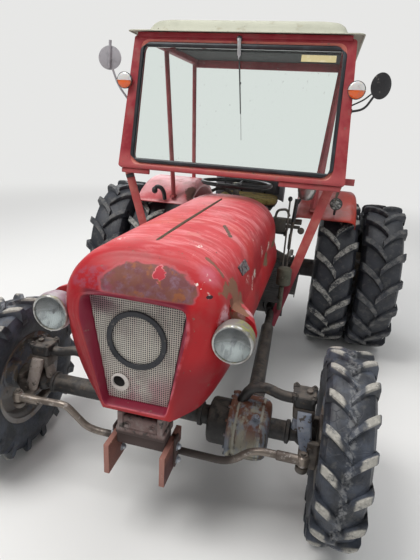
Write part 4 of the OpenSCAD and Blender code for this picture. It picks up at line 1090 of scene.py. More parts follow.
def hood_loop(y):
    """The hood's section as (x, z) from its lower left edge over the crest to the right one."""
    _, half, top, level, low_half, low = hood_row(y)
    belly = BELLY * min(1.0, 0.1 + (y - HOOD[0][0]) / 66)
    left = []
    for i in range(SIDE_STEPS):
        t = i / SIDE_STEPS
        left.append((low_half + (half - low_half) * t + 4 * belly * t * (1 - t), low + (level - low) * t))
    over = []
    for i in range(CREST_STEPS + 1):
        a = math.pi * i / CREST_STEPS
        c, s = math.cos(a), math.sin(a)
        over.append((math.copysign(abs(c) ** SQUARENESS, c) * half,
                     level + (top - level) * max(s, 0) ** SQUARENESS))
    return left + over + [(-x, z) for x, z in reversed(left)]


def lip_push(y, z, high):
    """How far the rolled lip stands out at this place, in millimetres."""
    line = -2113 - 0.6 * (1151 - z)
    rise = eased_step(y, line - 7, line + 6) * (1 - eased_step(y, line + 14, line + 150))
    return high * rise * eased_step(z, 960, 1035)


def with_lip(x, y, z, high):
    """A point of the hood's section, pushed outwards where the lip runs."""
    away = Vector((x, z - 860)).normalized() * lip_push(y, z, high)
    return x + away.x, z + away.y


def fairing_reach(y, z):
    """How far out the fairing behind a headlamp reaches at this place."""
    start, end = LAMP[1] + CAN_END, LAMP[1] + 330
    if y < start:
        return -1e3
    t = min(1.0, (y - start) / (end - start))
    radius = 66 - 50 * t**1.4
    centre = LAMP[0] - 62 * t**1.6
    off = abs(z - (LAMP[2] + 12 * t))
    if off < radius:
        return centre + math.sqrt(radius**2 - off**2)
    return centre - (off - radius) * 2.2


def blended_max(a, b, blend=9.0):
    """The larger of two numbers, with a soft change from one to the other."""
    return (a + b + math.sqrt((a - b) ** 2 + blend * blend)) / 2 - blend * 0.08


def hood_skin(high):
    """The sheet from the nose to the windscreen with its lip and fairings."""
    rows = ([-2190, -2188, -2185, -2181] + [-2178 + 5 * i for i in range(28)]
            + [-2036 + 16 * i for i in range(14)] + [-1800 + 68.5 * i for i in range(15)] + [-773])
    rows = sorted(set(rows) | {LAMP[1] + CAN_END - 0.4, LAMP[1] + CAN_END + 0.2})
    loops = []
    for y in rows:
        loop = []
        for x, z in hood_loop(y):
            x, z = with_lip(x, y, z, high)
            reach = fairing_reach(y, z)
            if reach > abs(x) - 40:
                x = math.copysign(blended_max(abs(x), reach), x)
            loop.append(at(x, y, z))
        loops.append(loop)
    return loft(loops, closed=False)


def grille_edge():
    """Angles and distances of the grille opening's edge, seen from its middle."""
    edge = corner_loop(GRILLE, 22, 12, 40)
    dense = [p - GRILLE_MIDDLE for a, b in zip(edge, edge[1:] + edge[:1]) for p in (a, (a + b) / 2)]
    angles = np.array([math.atan2(p.y, p.x) for p in dense])
    reaches = np.array([p.length for p in dense])
    order = np.argsort(angles)
    return angles[order], reaches[order]


def nose_frame(high):
    """The skin from the sheet's front edge over a round ridge into the grille's recess."""
    nose, low_half, low_z = HOOD[0][0], HOOD[0][4], HOOD[0][5]
    front = [with_lip(x, nose, z, high) for x, z in hood_loop(nose)]
    outer = front + [(-low_half + 2 * low_half * t / 18, low_z) for t in range(1, 18)]
    angles, reaches = grille_edge()

    def inner(x, z, inset):
        """The opening's edge in the same direction, inset by so many millimetres."""
        a = math.atan2(z - GRILLE_MIDDLE.y, x - GRILLE_MIDDLE.x)
        r = np.interp(a, angles, reaches, period=2 * math.pi) - inset
        return GRILLE_MIDDLE.x + r * math.cos(a), GRILLE_MIDDLE.y + r * math.sin(a)

    def frame_loop(share, y, inset):
        """A loop that lies that share of the way from the sheet's edge to the opening."""
        out = []
        for x, z in outer:
            gx, gz = inner(x, z, inset)
            # The right side's ridge lies further out, with a broader slope inside it
            part = share ** (1 + 0.9 * eased_step(-x, -40, 150) * eased_step(z, 640, 900))
            out.append(at(x + (gx - x) * part, y, z + (gz - z) * part))
        return out

    return loft([frame_loop(*row) for row in NOSE_RIMS])


def hood_shell(high):
    """The pressed hood with its lip, fairings, nose frame and hinge lugs."""
    sheet = crest_up(outward(joined(hood_skin(high), nose_frame(high)), 0.0002))
    modify(sheet, "SOLIDIFY", thickness=0.004, offset=-1.0)
    lug = joined(block((140, -810, 1152), (152, -786, 1165), 1), drum((146, -798, 1152), X, 12, 12, 1))
    return joined(sheet, both(lug))


def crest_strip():
    """The worn moulding along the hood's crest, pointed at its front."""
    section = ((-1, 0), (-0.8, 3.6), (-0.3, 4.8), (0, 3.2), (0.3, 4.8), (0.8, 3.6), (1, 0))
    loops = []
    for y, half in ((-2008, 2.0), (-2000, 6.5), (-1990, 8.0), (-1700, 8.5), (-1300, 7.5), (-1000, 6.0),
                    (-984, 3.5)):
        top = hood_row(y)[2] - 0.6
        loops.append([at(half * x, y, top + z) for x, z in section])
    return loft(loops, caps=True)


def side_badge():
    """A blank lozenge badge with a raised rim on the hood's left side."""
    spots = [Vector((273, -1706, 1081)), Vector((299, -1668, 1012)), Vector((291, -1858, 1031)),
             Vector((270, -1890, 1088))]
    middle = sum(spots, Vector()) / 4
    across, along = (spots[1] - spots[3]).normalized(), (spots[0] - spots[2]).normalized()
    out = along.cross(across).normalized()
    out = out if out.x > 0 else -out
    loops = []
    for share, lift in ((0.36, -6), (0.36, 5.5), (0.31, 7.0), (0.27, 5.2), (0.12, 5.2), (0.02, 5.4)):
        loops.append([at(*(middle + (s - middle) * share * 2 + out * lift)) for s in spots])
    return loft(loops)


class OBJECT_OT_tractor_hood(bpy.types.Operator):
    """Makes the hood's pressed sheet, its crest strip and its blank side badge."""

    bl_idname = "object.tractor_hood"
    bl_label = "Hood"

    def execute(self, context):
        lip = context.scene.tractor_sizes.lip_height * 1000
        piece(hood_shell(lip), "hood_shell", "hood", finish(hood_red), ["hood"], 40)
        strip = plain("crest_strip", (0.10, 0.075, 0.045), 0.5, 120.0, 0.3, 0.6, Metallic=0.3)
        piece(crest_strip(), "hood_crest_strip", "hood", strip, smooth=30)
        piece(side_badge(), "hood_blank_badge", "hood", finish(badge_silver), smooth=30)
        return {"FINISHED"}


def mesh_cells(pitch, hole):
    """A sheet of square holes over the grille's opening, still a rectangle."""
    low, high = at(-194, MESH_Y, 601), at(184, MESH_Y, 1024)
    fresh()
    bpy.ops.mesh.primitive_plane_add(size=pitch, location=(low.x + pitch / 2, low.y, low.z + pitch / 2),
                                     rotation=(math.pi / 2, 0, 0))
    mesh = settle("mesh_cell")
    bpy.ops.object.mode_set(mode="EDIT")
    bpy.ops.mesh.select_all(action="SELECT")
    bpy.ops.mesh.inset(thickness=(pitch - hole) / 2, depth=0)
    bpy.ops.mesh.delete(type="FACE")
    bpy.ops.object.mode_set(mode="OBJECT")
    for axis, reach in ((0, high.x - low.x), (2, high.z - low.z)):
        offset = [0, 0, 0]
        offset[axis] = pitch
        modify(mesh, "ARRAY", count=int(reach / pitch), use_relative_offset=False, use_constant_offset=True,
               constant_offset_displace=offset, use_merge_vertices=True, merge_threshold=0.0001)
    return mesh


def make_mesh_sheet(pitch, hole):
    """The mesh, cut to the grille's outline and to the crank's hole."""
    mesh = mesh_cells(pitch, hole)
    sides = [(GRILLE[i], GRILLE[(i + 1) % 4]) for i in range(4)]
    planes = []
    for (x0, z0), (x1, z1) in sides:
        normal = Vector((z1 - z0, 0, x0 - x1)).normalized()
        planes.append((at(x0, MESH_Y, z0) - normal * 0.0045, normal))
    centre = at(CRANK[0], MESH_Y, CRANK[1])
    pick(mesh)
    bpy.ops.object.mode_set(mode="EDIT")
    for place, normal in planes:
        bpy.ops.mesh.select_all(action="SELECT")
        bpy.ops.mesh.bisect(plane_co=place, plane_no=normal, clear_outer=True)
    bpy.ops.object.mode_set(mode="OBJECT")
    work = bmesh.new()
    work.from_mesh(mesh.data)
    gone = [f for f in work.faces if (f.calc_center_median() - centre).length < 0.029]
    bmesh.ops.delete(work, geom=gone, context="FACES")
    work.to_mesh(mesh.data)
    work.free()
    modify(mesh, "SOLIDIFY", thickness=0.0011, offset=0.0)
    piece(mesh, "grille_mesh_sheet", "hood", finish(mesh_metal), ["grille_mesh"], 0)


def make_crank_rim():
    """The light rim round the crank's hole."""
    rim = turned([(24, -4), (25, -6.5), (32, -6), (35.5, -4), (36, 0), (28, 3), (24, 3)],
                 (CRANK[0], -2166, CRANK[1]), Y, 40, ring=True)
    middle = at(CRANK[0], 0, CRANK[1])
    # The rim is worn broader at its lower left
    for corner in rim.data.vertices:
        if math.hypot(corner.co.x - middle.x, corner.co.z - middle.z) > 0.030:
            corner.co += Vector((0.0035, 0, -0.0025))
    white = plain("crank_hole_rim", (0.60, 0.56, 0.53), 0.45, 60.0, 0.4, 0.72)
    piece(rim, "grille_crank_rim", "hood", white)


def make_plain_ring():
    """The black ring on the mesh, without its letter."""
    centre = (RING[0], MESH_Y - 2.5, RING[1])
    ring = turned([(93, 0), (93, -6.5), (94.5, -8), (110.4, -8.6), (112.4, -7), (112.4, 0)], centre, Y, 96,
                  ring=True)
    clips = bolts(ring_of(4, 103.5, -8.2, centre, "Y", 0.78), (0, -1, 0), 3.2, 2.5, False)
    piece(joined(ring, clips), "grille_plain_ring", "hood", finish(ring_black),
          ["grille_ring"])


class OBJECT_OT_tractor_grille(bpy.types.Operator):
    """Makes the perforated mesh with real holes, its rimmed crank hole and the plain black ring."""

    bl_idname = "object.tractor_grille"
    bl_label = "Grille"

    def execute(self, context):
        sizes = context.scene.tractor_sizes
        make_mesh_sheet(sizes.mesh_pitch, sizes.mesh_hole)
        make_crank_rim()
        make_plain_ring()
        return {"FINISHED"}


# Radius and depth behind the rim's front, in millimetres
LAMP_HOUSING = [(0.01, 100), (30, 99), (47, 93), (59, 81), (67, 63), (71.5, 42), (72.5, 26), (71.5, 14),
                (69, 8), (66, 5), (64, 6), (63, 26), (52, 38), (30, 46), (0.01, 48)]
LAMP_RIM = [(69.5, 9), (70.2, 5), (69.6, 1), (67, -2.4), (64, -3.2), (61.8, -2), (61, 0), (61.4, 3),
            (65, 5), (67, 9)]
LAMP_DISH = [(62, 6), (57, 13), (48, 24), (35, 34), (20, 41), (9, 43.5), (0.01, 44)]
LAMP_BULB = [(9, 44), (9, 34), (7, 31), (7, 22), (8.4, 16), (6.4, 9), (3, 6.4), (0.01, 6)]
LAMP_LENS = [(0.01, -9.5), (20, -8.8), (39, -6), (53, -2.8), (61.2, 0.6), (61.2, 3.2), (53, 0), (39, -3),
             (20, -5.8), (0.01, -6.5)]


def make_headlamp(side, name):
    """One headlamp; the left one stands for the frame's bowls and lenses, which hold both."""
    x, y, z = LAMP[0] * side, LAMP[1], LAMP[2]
    left = side > 0

    def spun(profile, steps, ring=False):
        """A profile spun about the lamp's own axis."""
        return turned(profile, (x, y, z), Y, steps, ring)

    piece(spun(LAMP_HOUSING, 64), "headlamp_housing_" + name, "hood", finish(lamp_red, 0 if left else 1),
          ["headlamp_bowls"] if left else ())
    rim = spun(LAMP_RIM, 72, True)
    screws = bolts([(x, y + 1, z + 69), (x, y + 1, z - 69)], (0, -1, 0), 3, 2, False)
    piece(joined(rim, screws), "headlamp_rim_" + name, "hood", finish(bright_steel))
    piece(spun(LAMP_DISH, 64), "headlamp_reflector_" + name, "hood", finish(mirror_bowl))
    piece(spun(LAMP_BULB, 28), "headlamp_bulb_" + name, "hood",
          plain("bulb_glass_" + name, (0.42, 0.44, 0.46), 0.2, 40.0, 0.05))
    piece(spun(LAMP_LENS, 72), "headlamp_glass_" + name, "hood", finish(lamp_glass),
          ["headlamp_lenses"] if left else ())


class OBJECT_OT_tractor_headlamps(bpy.types.Operator):
    """Makes both headlamps: housing, bright rim, reflector, bulb and fluted glass."""

    bl_idname = "object.tractor_headlamps"
    bl_label = "Headlamps"

    def execute(self, context):
        for side, name in SIDES:
            make_headlamp(side, name)
        return {"FINISHED"}


# Wheels

LUG_SWEEP = 0.92
FRONT_HALF, REAR_HALF = 93, 138
FRONT_BEAD, REAR_BEAD = 203, 305


def tread_lug(radius, depth, half, width, reach):
    """One lug: from just over the tyre's middle out to its shoulder and down the side, swept back."""
    def swept(s):
        """How far the lug has swept back at a share of the half width."""
        return half * (0.62 * s + 0.46 * abs(s) ** 2.6)

    loops = []
    for t, u, top, base in reach:
        lead = -LUG_SWEEP * (swept(1) - swept(1 - t)) / radius
        crown = width / 2 * (min(1, 0.8 + 0.4 * t) if radius == FRONT_R else 1.0)
        root = width / 2 + depth * 0.24
        loop = []
        for side, r in ((-root, base), (-crown - 1.2, top - 4.5), (-crown + 3, top), (crown - 3, top),
                        (crown + 1.2, top - 4.5), (root, base)):
            a = lead + side / radius
            loop.append(Vector((u, r * math.sin(a), -r * math.cos(a))) / 1000)
        loops.append(loop)
    return loft(loops, caps=True)


def tyre(radius, half, bead, lugs, depth, width, worn, start):
    """A tractor tyre about the rear axle's middle: a spun carcass with lugs in two staggered rows."""
    floor_r = radius - depth
    side = [(bead + 1, half * 0.62), (bead + 4, half * 0.70), (bead + 16, half * 0.74),
            (bead + 30, half * 0.86), (bead + (radius - bead) * 0.36, half * 0.975),
            (bead + (radius - bead) * 0.48, half * 0.985), (bead + (radius - bead) * 0.62, half * 0.95),
            (floor_r - 34, half * 0.885), (floor_r - 14, half * 0.80), (floor_r - 5, half * 0.66),
            (floor_r - 1, half * 0.36), (floor_r, 0)]
    profile = side + [(r, -u) for r, u in reversed(side[:-1])]
    body = turned(profile, (0, -REAR_AXLE, 0), X, 120)
    # Where a lug runs: share of the way, sideways, its top and its foot
    reach = [(0.0, -half * 0.10, radius - depth * worn, floor_r - 4),
             (0.10, half * 0.02, radius - depth * worn * 0.8, floor_r - 4),
             (0.22, half * 0.15, radius - depth * worn * 0.5, floor_r - 4),
             (0.34, half * 0.29, radius - depth * worn * 0.24, floor_r - 5),
             (0.46, half * 0.42, radius - 1.2, floor_r - 6), (0.60, half * 0.58, radius - 1.6, floor_r - 8),
             (0.80, half * 0.79, radius - 4.5, floor_r - 18),
             (0.93, half * 0.93, radius - 11, floor_r - 34), (1.0, half * 0.995, radius - 24, floor_r - 46),
             (1.05, half * 0.992, radius - 44, floor_r - 62),
             (1.08, half * 0.965, radius - 66, floor_r - 66)]
    rows = []
    for hand in (1, -1):
        lug = tread_lug(radius, depth, half, width, [(t, u * hand, top, base) for t, u, top, base in reach])
        shift = start if hand > 0 else start + math.pi / lugs
        rows += [copied(lug, Matrix.Rotation(shift + 2 * math.pi * i / lugs, 4, "X")) for i in range(lugs)]
        bpy.data.objects.remove(lug)
    side_ring = [(bead + 44, half * 0.875), (bead + 47, half * 0.915), (bead + 51, half * 0.915),
                 (bead + 54, half * 0.90)]
    bands = [turned(side_ring, (0, -REAR_AXLE, 0), (u, 0, 0), 96) for u in (1, -1)]
    return moved(joined(body, *rows, *bands), FROM_ORIGIN)


def front_rim():
    """A front wheel's pressed rim with its dished disc, hub and bolts, its outside at +X."""
    barrel = turned([(219, 72), (221, 70.5), (220, 66), (213, 63), (204, 62), (202.6, 50), (192, 42),
                     (186, 34), (186, -26), (190, -40), (202.6, -50), (204, -62), (213, -63), (220, -66),
                     (221, -70.5), (219, -72), (211, -67), (200, -65), (198, -53), (187, -44), (182, -30),
                     (182, 34), (188, 45), (198, 53), (200, 65), (211, 67)], (0, 0, 0), X, 96, ring=True)
    disc = turned([(62, 40), (118, 40), (128, 42), (136, 40), (150, 30), (168, 17), (180, 12), (184, 10),
                   (184, 6), (179, 6), (166, 11), (148, 24), (134, 34), (128, 36), (118, 34), (62, 34)],
                  (0, 0, 0), X, 72, ring=True)
    hub = turned([(26, -18), (60, -18), (64, -14), (64, 20), (72, 26), (72, 33), (50, 33), (50, 44),
                  (44, 50), (20, 52), (20, 46), (26, 44)], (0, 0, 0), X, 48, ring=True)
    nuts = bolts(ring_of(6, 95, 40, (0, 0, 0), "X"), X, 9, 9)
    heads = bolts(ring_of(6, 95, 33, (0, 0, 0), "X"), (-1, 0, 0), 8, 5, False)
    return joined(barrel, disc, hub, nuts, heads)


def rear_rim():
    """The two rims of a rear twin wheel, their discs and the ring between; the inner wheel is the centre."""
    made = []
    for u in (0, REAR_TRACKS[1] - REAR_TRACKS[0]):
        made.append(turned([(321, u + 104), (320, u + 98), (312, u + 96), (304.5, u + 92), (303, u + 76),
                            (290, u + 62), (286, u + 50), (286, u - 46), (290, u - 60), (303, u - 76),
                            (304.5, u - 92), (312, u - 96), (320, u - 98), (321, u - 104), (311, u - 100),
                            (300, u - 95), (298, u - 80), (286, u - 64), (281, u - 50), (281, u + 50),
                            (286, u + 66), (298, u + 80), (300, u + 95), (311, u + 100)], (0, 0, 0), X, 96,
                           ring=True))
    for u in (0, 203):
        made.append(turned([(60, u + 42), (150, u + 42), (168, u + 44), (200, u + 52), (240, u + 66),
                            (262, u + 72), (281, u + 72), (281, u + 64), (262, u + 64), (240, u + 58),
                            (200, u + 44), (168, u + 36), (150, u + 34), (60, u + 34)], (0, 0, 0), X, 72,
                           ring=True))
        made.append(bolts(ring_of(8, 118, u + 42, (0, 0, 0), "X"), X, 12, 12))
    made.append(turned([(150, 42), (156, 46), (156, 233), (150, 237), (166, 237), (170, 233), (170, 46),
                        (166, 42)], (0, 0, 0), X, 64, ring=True))
    made.append(turned([(41, -5), (99, -5), (99, 36), (84, 42), (84, 60), (72, 66), (41, 66)], (0, 0, 0), X,
                       48, ring=True))
    return joined(*made)


class OBJECT_OT_tractor_wheels(bpy.types.Operator):
    """Makes the lugged tyres, the muddy front rims and the rear twin rims."""

    bl_idname = "object.tractor_wheels"
    bl_label = "Wheels"

    def execute(self, context):
        sizes = context.scene.tractor_sizes
        front = tyre(FRONT_R, FRONT_HALF, FRONT_BEAD, sizes.front_lugs, sizes.front_lug_depth * 1000, 32,
                     0.5, 0.17)
        rear = tyre(REAR_R, REAR_HALF, REAR_BEAD, sizes.rear_lugs, sizes.rear_lug_depth * 1000, 46, 0.1,
                    0.22)
        small, large = front_rim(), rear_rim()
        front_rubber = finish(tyre_rubber, FRONT_R, 1, AXLE_Y, (FRONT_TRACK,), FRONT_HALF)
        rear_rubber = finish(tyre_rubber, REAR_R, 0, 0, REAR_TRACKS, REAR_HALF)
        # The outer rear tyre's lugs stand a little further round than the inner one's
        turns = (Matrix.Identity(4), Matrix.Rotation(math.radians(4.5), 4, "X"))
        for side, name in SIDES:
            hand = Matrix.Scale(side, 4, X)
            place = Matrix.Translation(at(FRONT_TRACK * side, AXLE_Y, FRONT_R))
            piece(copied(front, place @ TO_ORIGIN @ hand), "front_tyre_lugged_" + name,
                  "front_wheel_" + name, front_rubber, ["front_tyre_" + name], 32)
            piece(copied(small, place @ TO_ORIGIN @ hand), "front_rim_dished_" + name,
                  "front_wheel_" + name, finish(muddy_paint, 1), ["front_rim_" + name], 32)
            twins = [copied(rear, Matrix.Translation(at(x * side, 0, REAR_R)) @ turn @ TO_ORIGIN @ hand)
                     for x, turn in zip(REAR_TRACKS, turns)]
            piece(joined(*twins), "rear_tyres_lugged_" + name, "rear_wheels_" + name, rear_rubber,
                  ["rear_tyre_" + name], 32)
            place = Matrix.Translation(at(REAR_TRACKS[0] * side, 0, REAR_R))
            piece(copied(large, place @ TO_ORIGIN @ hand), "rear_rims_" + name, "rear_wheels_" + name,
                  finish(muddy_paint, 0), ["rear_rim_" + name], 32)
        for spare in (front, rear, small, large):
            bpy.data.objects.remove(spare)
        return {"FINISHED"}


# Cab

PANEL = Matrix.Translation(at(0, -940, 1305)) @ Matrix.Rotation(math.radians(-11.2), 4, "X")
SCREEN = ((-570, 42), (570, 42), (553, 704), (-553, 704))
FLANGE = 22


def on_panel(obj):
    """Lays a piece drawn flat, its depth along Y and its height along Z, onto the sloping windscreen."""
    return moved(obj, PANEL @ TO_ORIGIN)


def grown(corners, more):
    """The windscreen's corners, pushed out by that many millimetres."""
    return [(x + math.copysign(more, x), z + (more if z > 300 else -more)) for x, z in corners]


def panel_loop(corners, radius, depth):
    """A rounded outline on the windscreen, in metres, at a depth behind its front."""
    return [at(p.x, depth, p.y) for p in corner_loop(corners, radius, 8, 10)]


def make_surround():
    """The pressed surround with its stepped flange."""
    outside = ((-654, 0), (654, 0), (607, 745), (-607, 745))
    step = grown(SCREEN, 13)
    loops = [panel_loop(grown(SCREEN, 2), 48, 40), panel_loop(grown(outside, -6), 8, 40),
             panel_loop(grown(outside, -1.5), 10, 38), panel_loop(outside, 10, 33),
             panel_loop(outside, 10, 7), panel_loop(grown(outside, -2), 10, 2),
             panel_loop(grown(outside, -7), 10, 0), panel_loop(grown(step, 7), 40, 0),
             panel_loop(grown(step, 4), 42, 1.5), panel_loop(step, 44, 6),
             panel_loop(grown(SCREEN, 9), 50, 8), panel_loop(grown(SCREEN, 2), 48, 8.5),
             panel_loop(grown(SCREEN, 1), 47, 12)]
    surround = on_panel(loft(loops, around=True))
    piece(surround, "windscreen_surround", "tractor", [finish(cab_red), finish(flange_red)],
          ["windscreen_panel"], 35)
    # The flange round the glass has the second finish
    back = PANEL.inverted()
    (low_x, low_z), (high_x, high_z) = SCREEN[1:3]
    for face in surround.data.polygons:
        here = back @ face.center * 1000
        edge = low_x + FLANGE - (here.z - low_z) * (low_x - high_x) / (high_z - low_z)
        inside = abs(here.x) < edge and low_z - FLANGE < here.z < high_z + FLANGE
        face.material_index = int(inside and 3 < here.y < 20)


def make_seal():
    """The rubber seal, a rounded section led round the glass."""
    ring = []
    for inset, depth in ((-20, 15), (-20, 1), (-18, -3), (-13, -5.5), (-6, -6), (0, -4.5),
                         (4, -1), (6, 4), (6, 7.6),
                         (0, 8), (0, 18), (-16, 20), (-20, 18.5)):
        ring.append(panel_loop(grown(SCREEN, inset), 46 + inset, depth))
    piece(on_panel(loft(ring, around=True)), "windscreen_rubber_seal", "tractor", finish(seal_rubber),
          ["windscreen_seal"], 40)


def make_pane():
    """The glass."""
    pane = [panel_loop(grown(SCREEN, -20.5), 25, d) for d in (12, 17)]
    piece(on_panel(loft(pane, caps=True)), "windscreen_pane", "tractor", finish(screen_glass),
          ["windscreen_glass"], 30)


def make_sticker():
    """A sticker without text."""
    sticker = block((341, 10.9, 630), (522, 11.6, 664), 0)
    piece(on_panel(sticker), "windscreen_blank_sticker", "tractor", finish(sticker_cream),
          smooth=0)


def make_wiper():
    """The wiper's knob, arm and blade."""
    housing = on_panel(joined(drum((0, -9, 729), Y, 15, 17, 3, 40), drum((0, -14, 729), Y, 5, 10, 1, 20)))
    arm = on_panel(joined(bar((0, -17, 729), (8, -16, 640), 20, 5, 90, 1.5),
                          block((5, -18, 622), (13, -12, 643), 1.5)))
    blade = on_panel(joined(bar((9, -15, 632), (48, 2, 345), 3.5, 8, 90, 0.8),
                            bar((10, 6, 630), (49, 6, 346), 3, 9, 90, 0.6),
                            block((24, -10, 500), (34, 3, 508), 1),
                            bar((49, 4, 350), (68, 6, 205), 2, 4, 90, 0.3)))
    black = finish(black_plastic)
    piece(housing, "wiper_motor_knob", "tractor", black, ["wiper"])
    piece(arm, "wiper_arm", "tractor", plain("wiper_arm_grey", (0.34, 0.34, 0.35), 0.4, Metallic=0.4))
    piece(blade, "wiper_blade", "tractor", black)


class OBJECT_OT_tractor_windscreen(bpy.types.Operator):
    """Makes the windscreen's pressed surround, its seal, glass, blank sticker and wiper."""

    bl_idname = "object.tractor_windscreen"
    bl_label = "Windscreen"

    def execute(self, context):
        make_surround()
        make_seal()
        make_pane()
        make_sticker()
        make_wiper()
        return {"FINISHED"}


# Half width, front, rear, height and corner radius, from the rim's underside to the middle
ROOF = ((642, -822, 312, 2050, 30), (650, -830, 320, 2050, 34), (650, -830, 320, 2054, 34),
        (646, -826, 316, 2056.5, 34), (600, -786, 272, 2058, 40), (576, -763, 250, 2062, 60),
        (566, -752, 240, 2074, 66), (556, -742, 232, 2092, 70), (546, -732, 224, 2110, 76),
        (530, -716, 208, 2124, 84), (504, -690, 184, 2132, 92), (440, -626, 124, 2136, 104),
        (280, -470, -30, 2137.4, 120), (140, -340, -160, 2138, 70))


def make_roof_skin():
    """The roof's skin with its softly raised middle."""
    loops = []
    for half, front, rear, z, radius in ROOF:
        corners = ((-half, front), (half, front), (half, rear), (-half, rear))
        loops.append([at(p.x, p.y, z) for p in corner_loop(corners, radius, 8, 16)])
    skin = crest_up(loft(loops, lid=True))
    modify(skin, "SOLIDIFY", thickness=0.003, offset=-1.0)
    piece(skin, "roof_skin", "tractor", finish(roof_cream), ["cab_roof"], 45)


def make_roof_lining():
    """The dark lining with its cross bar."""
    lining = joined(block((-575, -740, 2042), (575, 260, 2049), 2),
                    bar((-560, -250, 2038), (560, -250, 2038), 40, 12, 0, 2))
    piece(lining, "roof_lining", "tractor", finish(roof_lining))


class OBJECT_OT_tractor_roof(bpy.types.Operator):
    """Makes the roof's skin and its dark lining."""

    bl_idname = "object.tractor_roof"
    bl_label = "Roof"

    def execute(self, context):
        make_roof_skin()
        make_roof_lining()
        return {"FINISHED"}


FENDER_LAMP = (648, -452, 1135)


def make_fenders():
    """Both fenders: a pressed section led round the rear wheels."""
    def section(drop):
        """The fender's section as (radius, sideways), sunk by drop at its ends."""
        low = [(r - drop, 380 + u) for r, u in ((557, 5), (554, 2.5), (557, 0), (566, 0))]
        angles = [math.pi / 2 * i / 8 for i in range(9)]
        arc = [(618 - 52 + 52 * math.sin(a) - drop, 432 - 52 * math.cos(a)) for a in angles]
        top = [(618.0 - drop + 0.8 * math.sin(math.pi * t / 8), 432 + 316 * t / 8) for t in range(1, 8)]
        one = low + arc
        return one + top + [(r, 1180 - u) for r, u in reversed(one)]

    spans = ([(128.0, 9), (128.0, 3), (128.5, 0)] + [(128.5 + 91 * i / 44, 0) for i in range(1, 44)]
             + [(219.5, 0), (220.0, 3), (220.0, 9)])
    loops = []
    for angle, drop in spans:
        a = math.radians(angle)
        loops.append([at(u, r * math.sin(a), REAR_R - r * math.cos(a)) for r, u in section(drop)])
    left = crest_up(loft(loops, closed=False))
    modify(left, "SOLIDIFY", thickness=0.003, offset=-1.0)
    right = copied(left, MIRROR)
    piece(left, "fender_left", "tractor", finish(fender_red, 0), ["fenders"], 40)
    piece(right, "fender_right", "tractor", finish(fender_red, 1), (), 40)


def make_fender_lamp():
    """The round lamp on the left fender with its stalk."""
    body = turned([(0.01, 32), (26, 31), (36, 26), (39, 16), (40, 2), (38.5, 0), (36, 0), (36, 4),
                   (0.01, 4)], FENDER_LAMP, Y, 48)
    stalk = tube([(648, -425, 1120), (648, -392, 1085), (648, -372, 1052)], 8, 20)
    piece(joined(body, stalk), "fender_lamp_left", "tractor", finish(black_plastic),
          ["fender_lamps"])
    lens = turned([(0.01, -3), (16, -2.4), (30, 0), (35.5, 3), (35.5, 5), (0.01, 5)], FENDER_LAMP, Y, 48)
    piece(lens, "fender_lamp_lens_left", "tractor", finish(clear_lens))


def make_fender_hook():
    """The hook on the right fender."""
    hook = tube([(-556, -396, 1040), (-556, -410, 1086), (-572, -424, 1124), (-606, -430, 1134),
                 (-622, -428, 1108)], 15, 30)
    piece(joined(hook, ball((-622, -428, 1104), 21, (1, 1, 1.2))), "fender_hook_right", "tractor",
          finish(black_plastic))


class OBJECT_OT_tractor_fenders(bpy.types.Operator):
    """Makes the rear fenders with rolled edges, the left round lamp and the right hook grip."""

    bl_idname = "object.tractor_fenders"
    bl_label = "Fenders"

    def execute(self, context):
        make_fenders()
        make_fender_lamp()
        make_fender_hook()
        return {"FINISHED"}


def make_cab_frame():
    """Posts, roof rails, the two short bars under the windscreen and the tab beside it."""
    posts = both(joined(bar((500, -360, 1062), (566, -400, 2012), 38, 26, 0, 4),
                        tube([(528, 246, 1104), (566, 250, 2010)], 16, 0, 6),
                        block((545, -775, 2007), (587, 300, 2046), 4),
                        block((486, -392, 1056), (520, -330, 1070), 2),
                        bolts([(492, -380, 1070), (492, -344, 1070), (516, -380, 1070)], Z, 6, 5)))
    beam = block((-587, 272, 1990), (587, 300, 2046), 5)
    cross = on_panel(joined(block((-642, 12, -27), (-468, 34, -1), 3),
                            block((306, 12, -27), (642, 34, -1), 3)))
    tab_and_rail = joined(block((640, -868, 1306), (712, -860, 1342), 2),
                          block((-592, -806, 2024), (592, -742, 2049), 3))
    piece(joined(posts, beam, cross, tab_and_rail), "cab_frame", "tractor", finish(cab_red),
          ["cab_posts"], 40)


def make_struts():
    """The slanting struts from the windscreen's lower corners down beside the gearbox."""
    struts = both(joined(bar((612, -872, 1317), (364, -794, 363), 7, 54, -18, 1.2),
                         on_panel(block((596, 41.5, 4), (624, 66, 40), 2)),
                         bolts([(606, -884, 1286), (392, -806, 470)], (-0.25, -1, 0), 7, 6)))
    moved(struts, Matrix.Translation((-0.02, 0, 0)))
    piece(struts, "cab_struts_worn", "tractor", finish(strut_red), ["cab_struts"], 35)


def make_dusty_bracket():
    """The flat bar behind the left strut's head."""
    piece(bar((646, -852, 1312), (634, -610, 1196), 6, 44, 0, 1), "dusty_cab_bracket", "tractor",
          plain("dusty_bracket", (0.17, 0.155, 0.115), 0.85, 90.0, 0.3))


def make_hanging_cup():
    """The steel cup that hangs behind the windscreen's lower edge."""
    cup = turned([(0.01, -44), (34, -44), (44, -34), (53, 6), (56, 34), (52, 40), (0.01, 40)],
                 (458, -740, 1238), (0.1, -0.25, 1), 48)
    piece(cup, "hanging_steel_cup", "tractor", finish(bright_steel))


def make_strap():
    """The black strap round the right strut."""
    strap = bar((598, -871, 1262), (592, -869, 1240), 11, 50, -18, 1.5)
    moved(strap, Matrix.Translation((-0.02, 0, 0)) @ Matrix.Scale(-1, 4, X))
    piece(strap, "strut_black_strap", "tractor", finish(black_plastic))


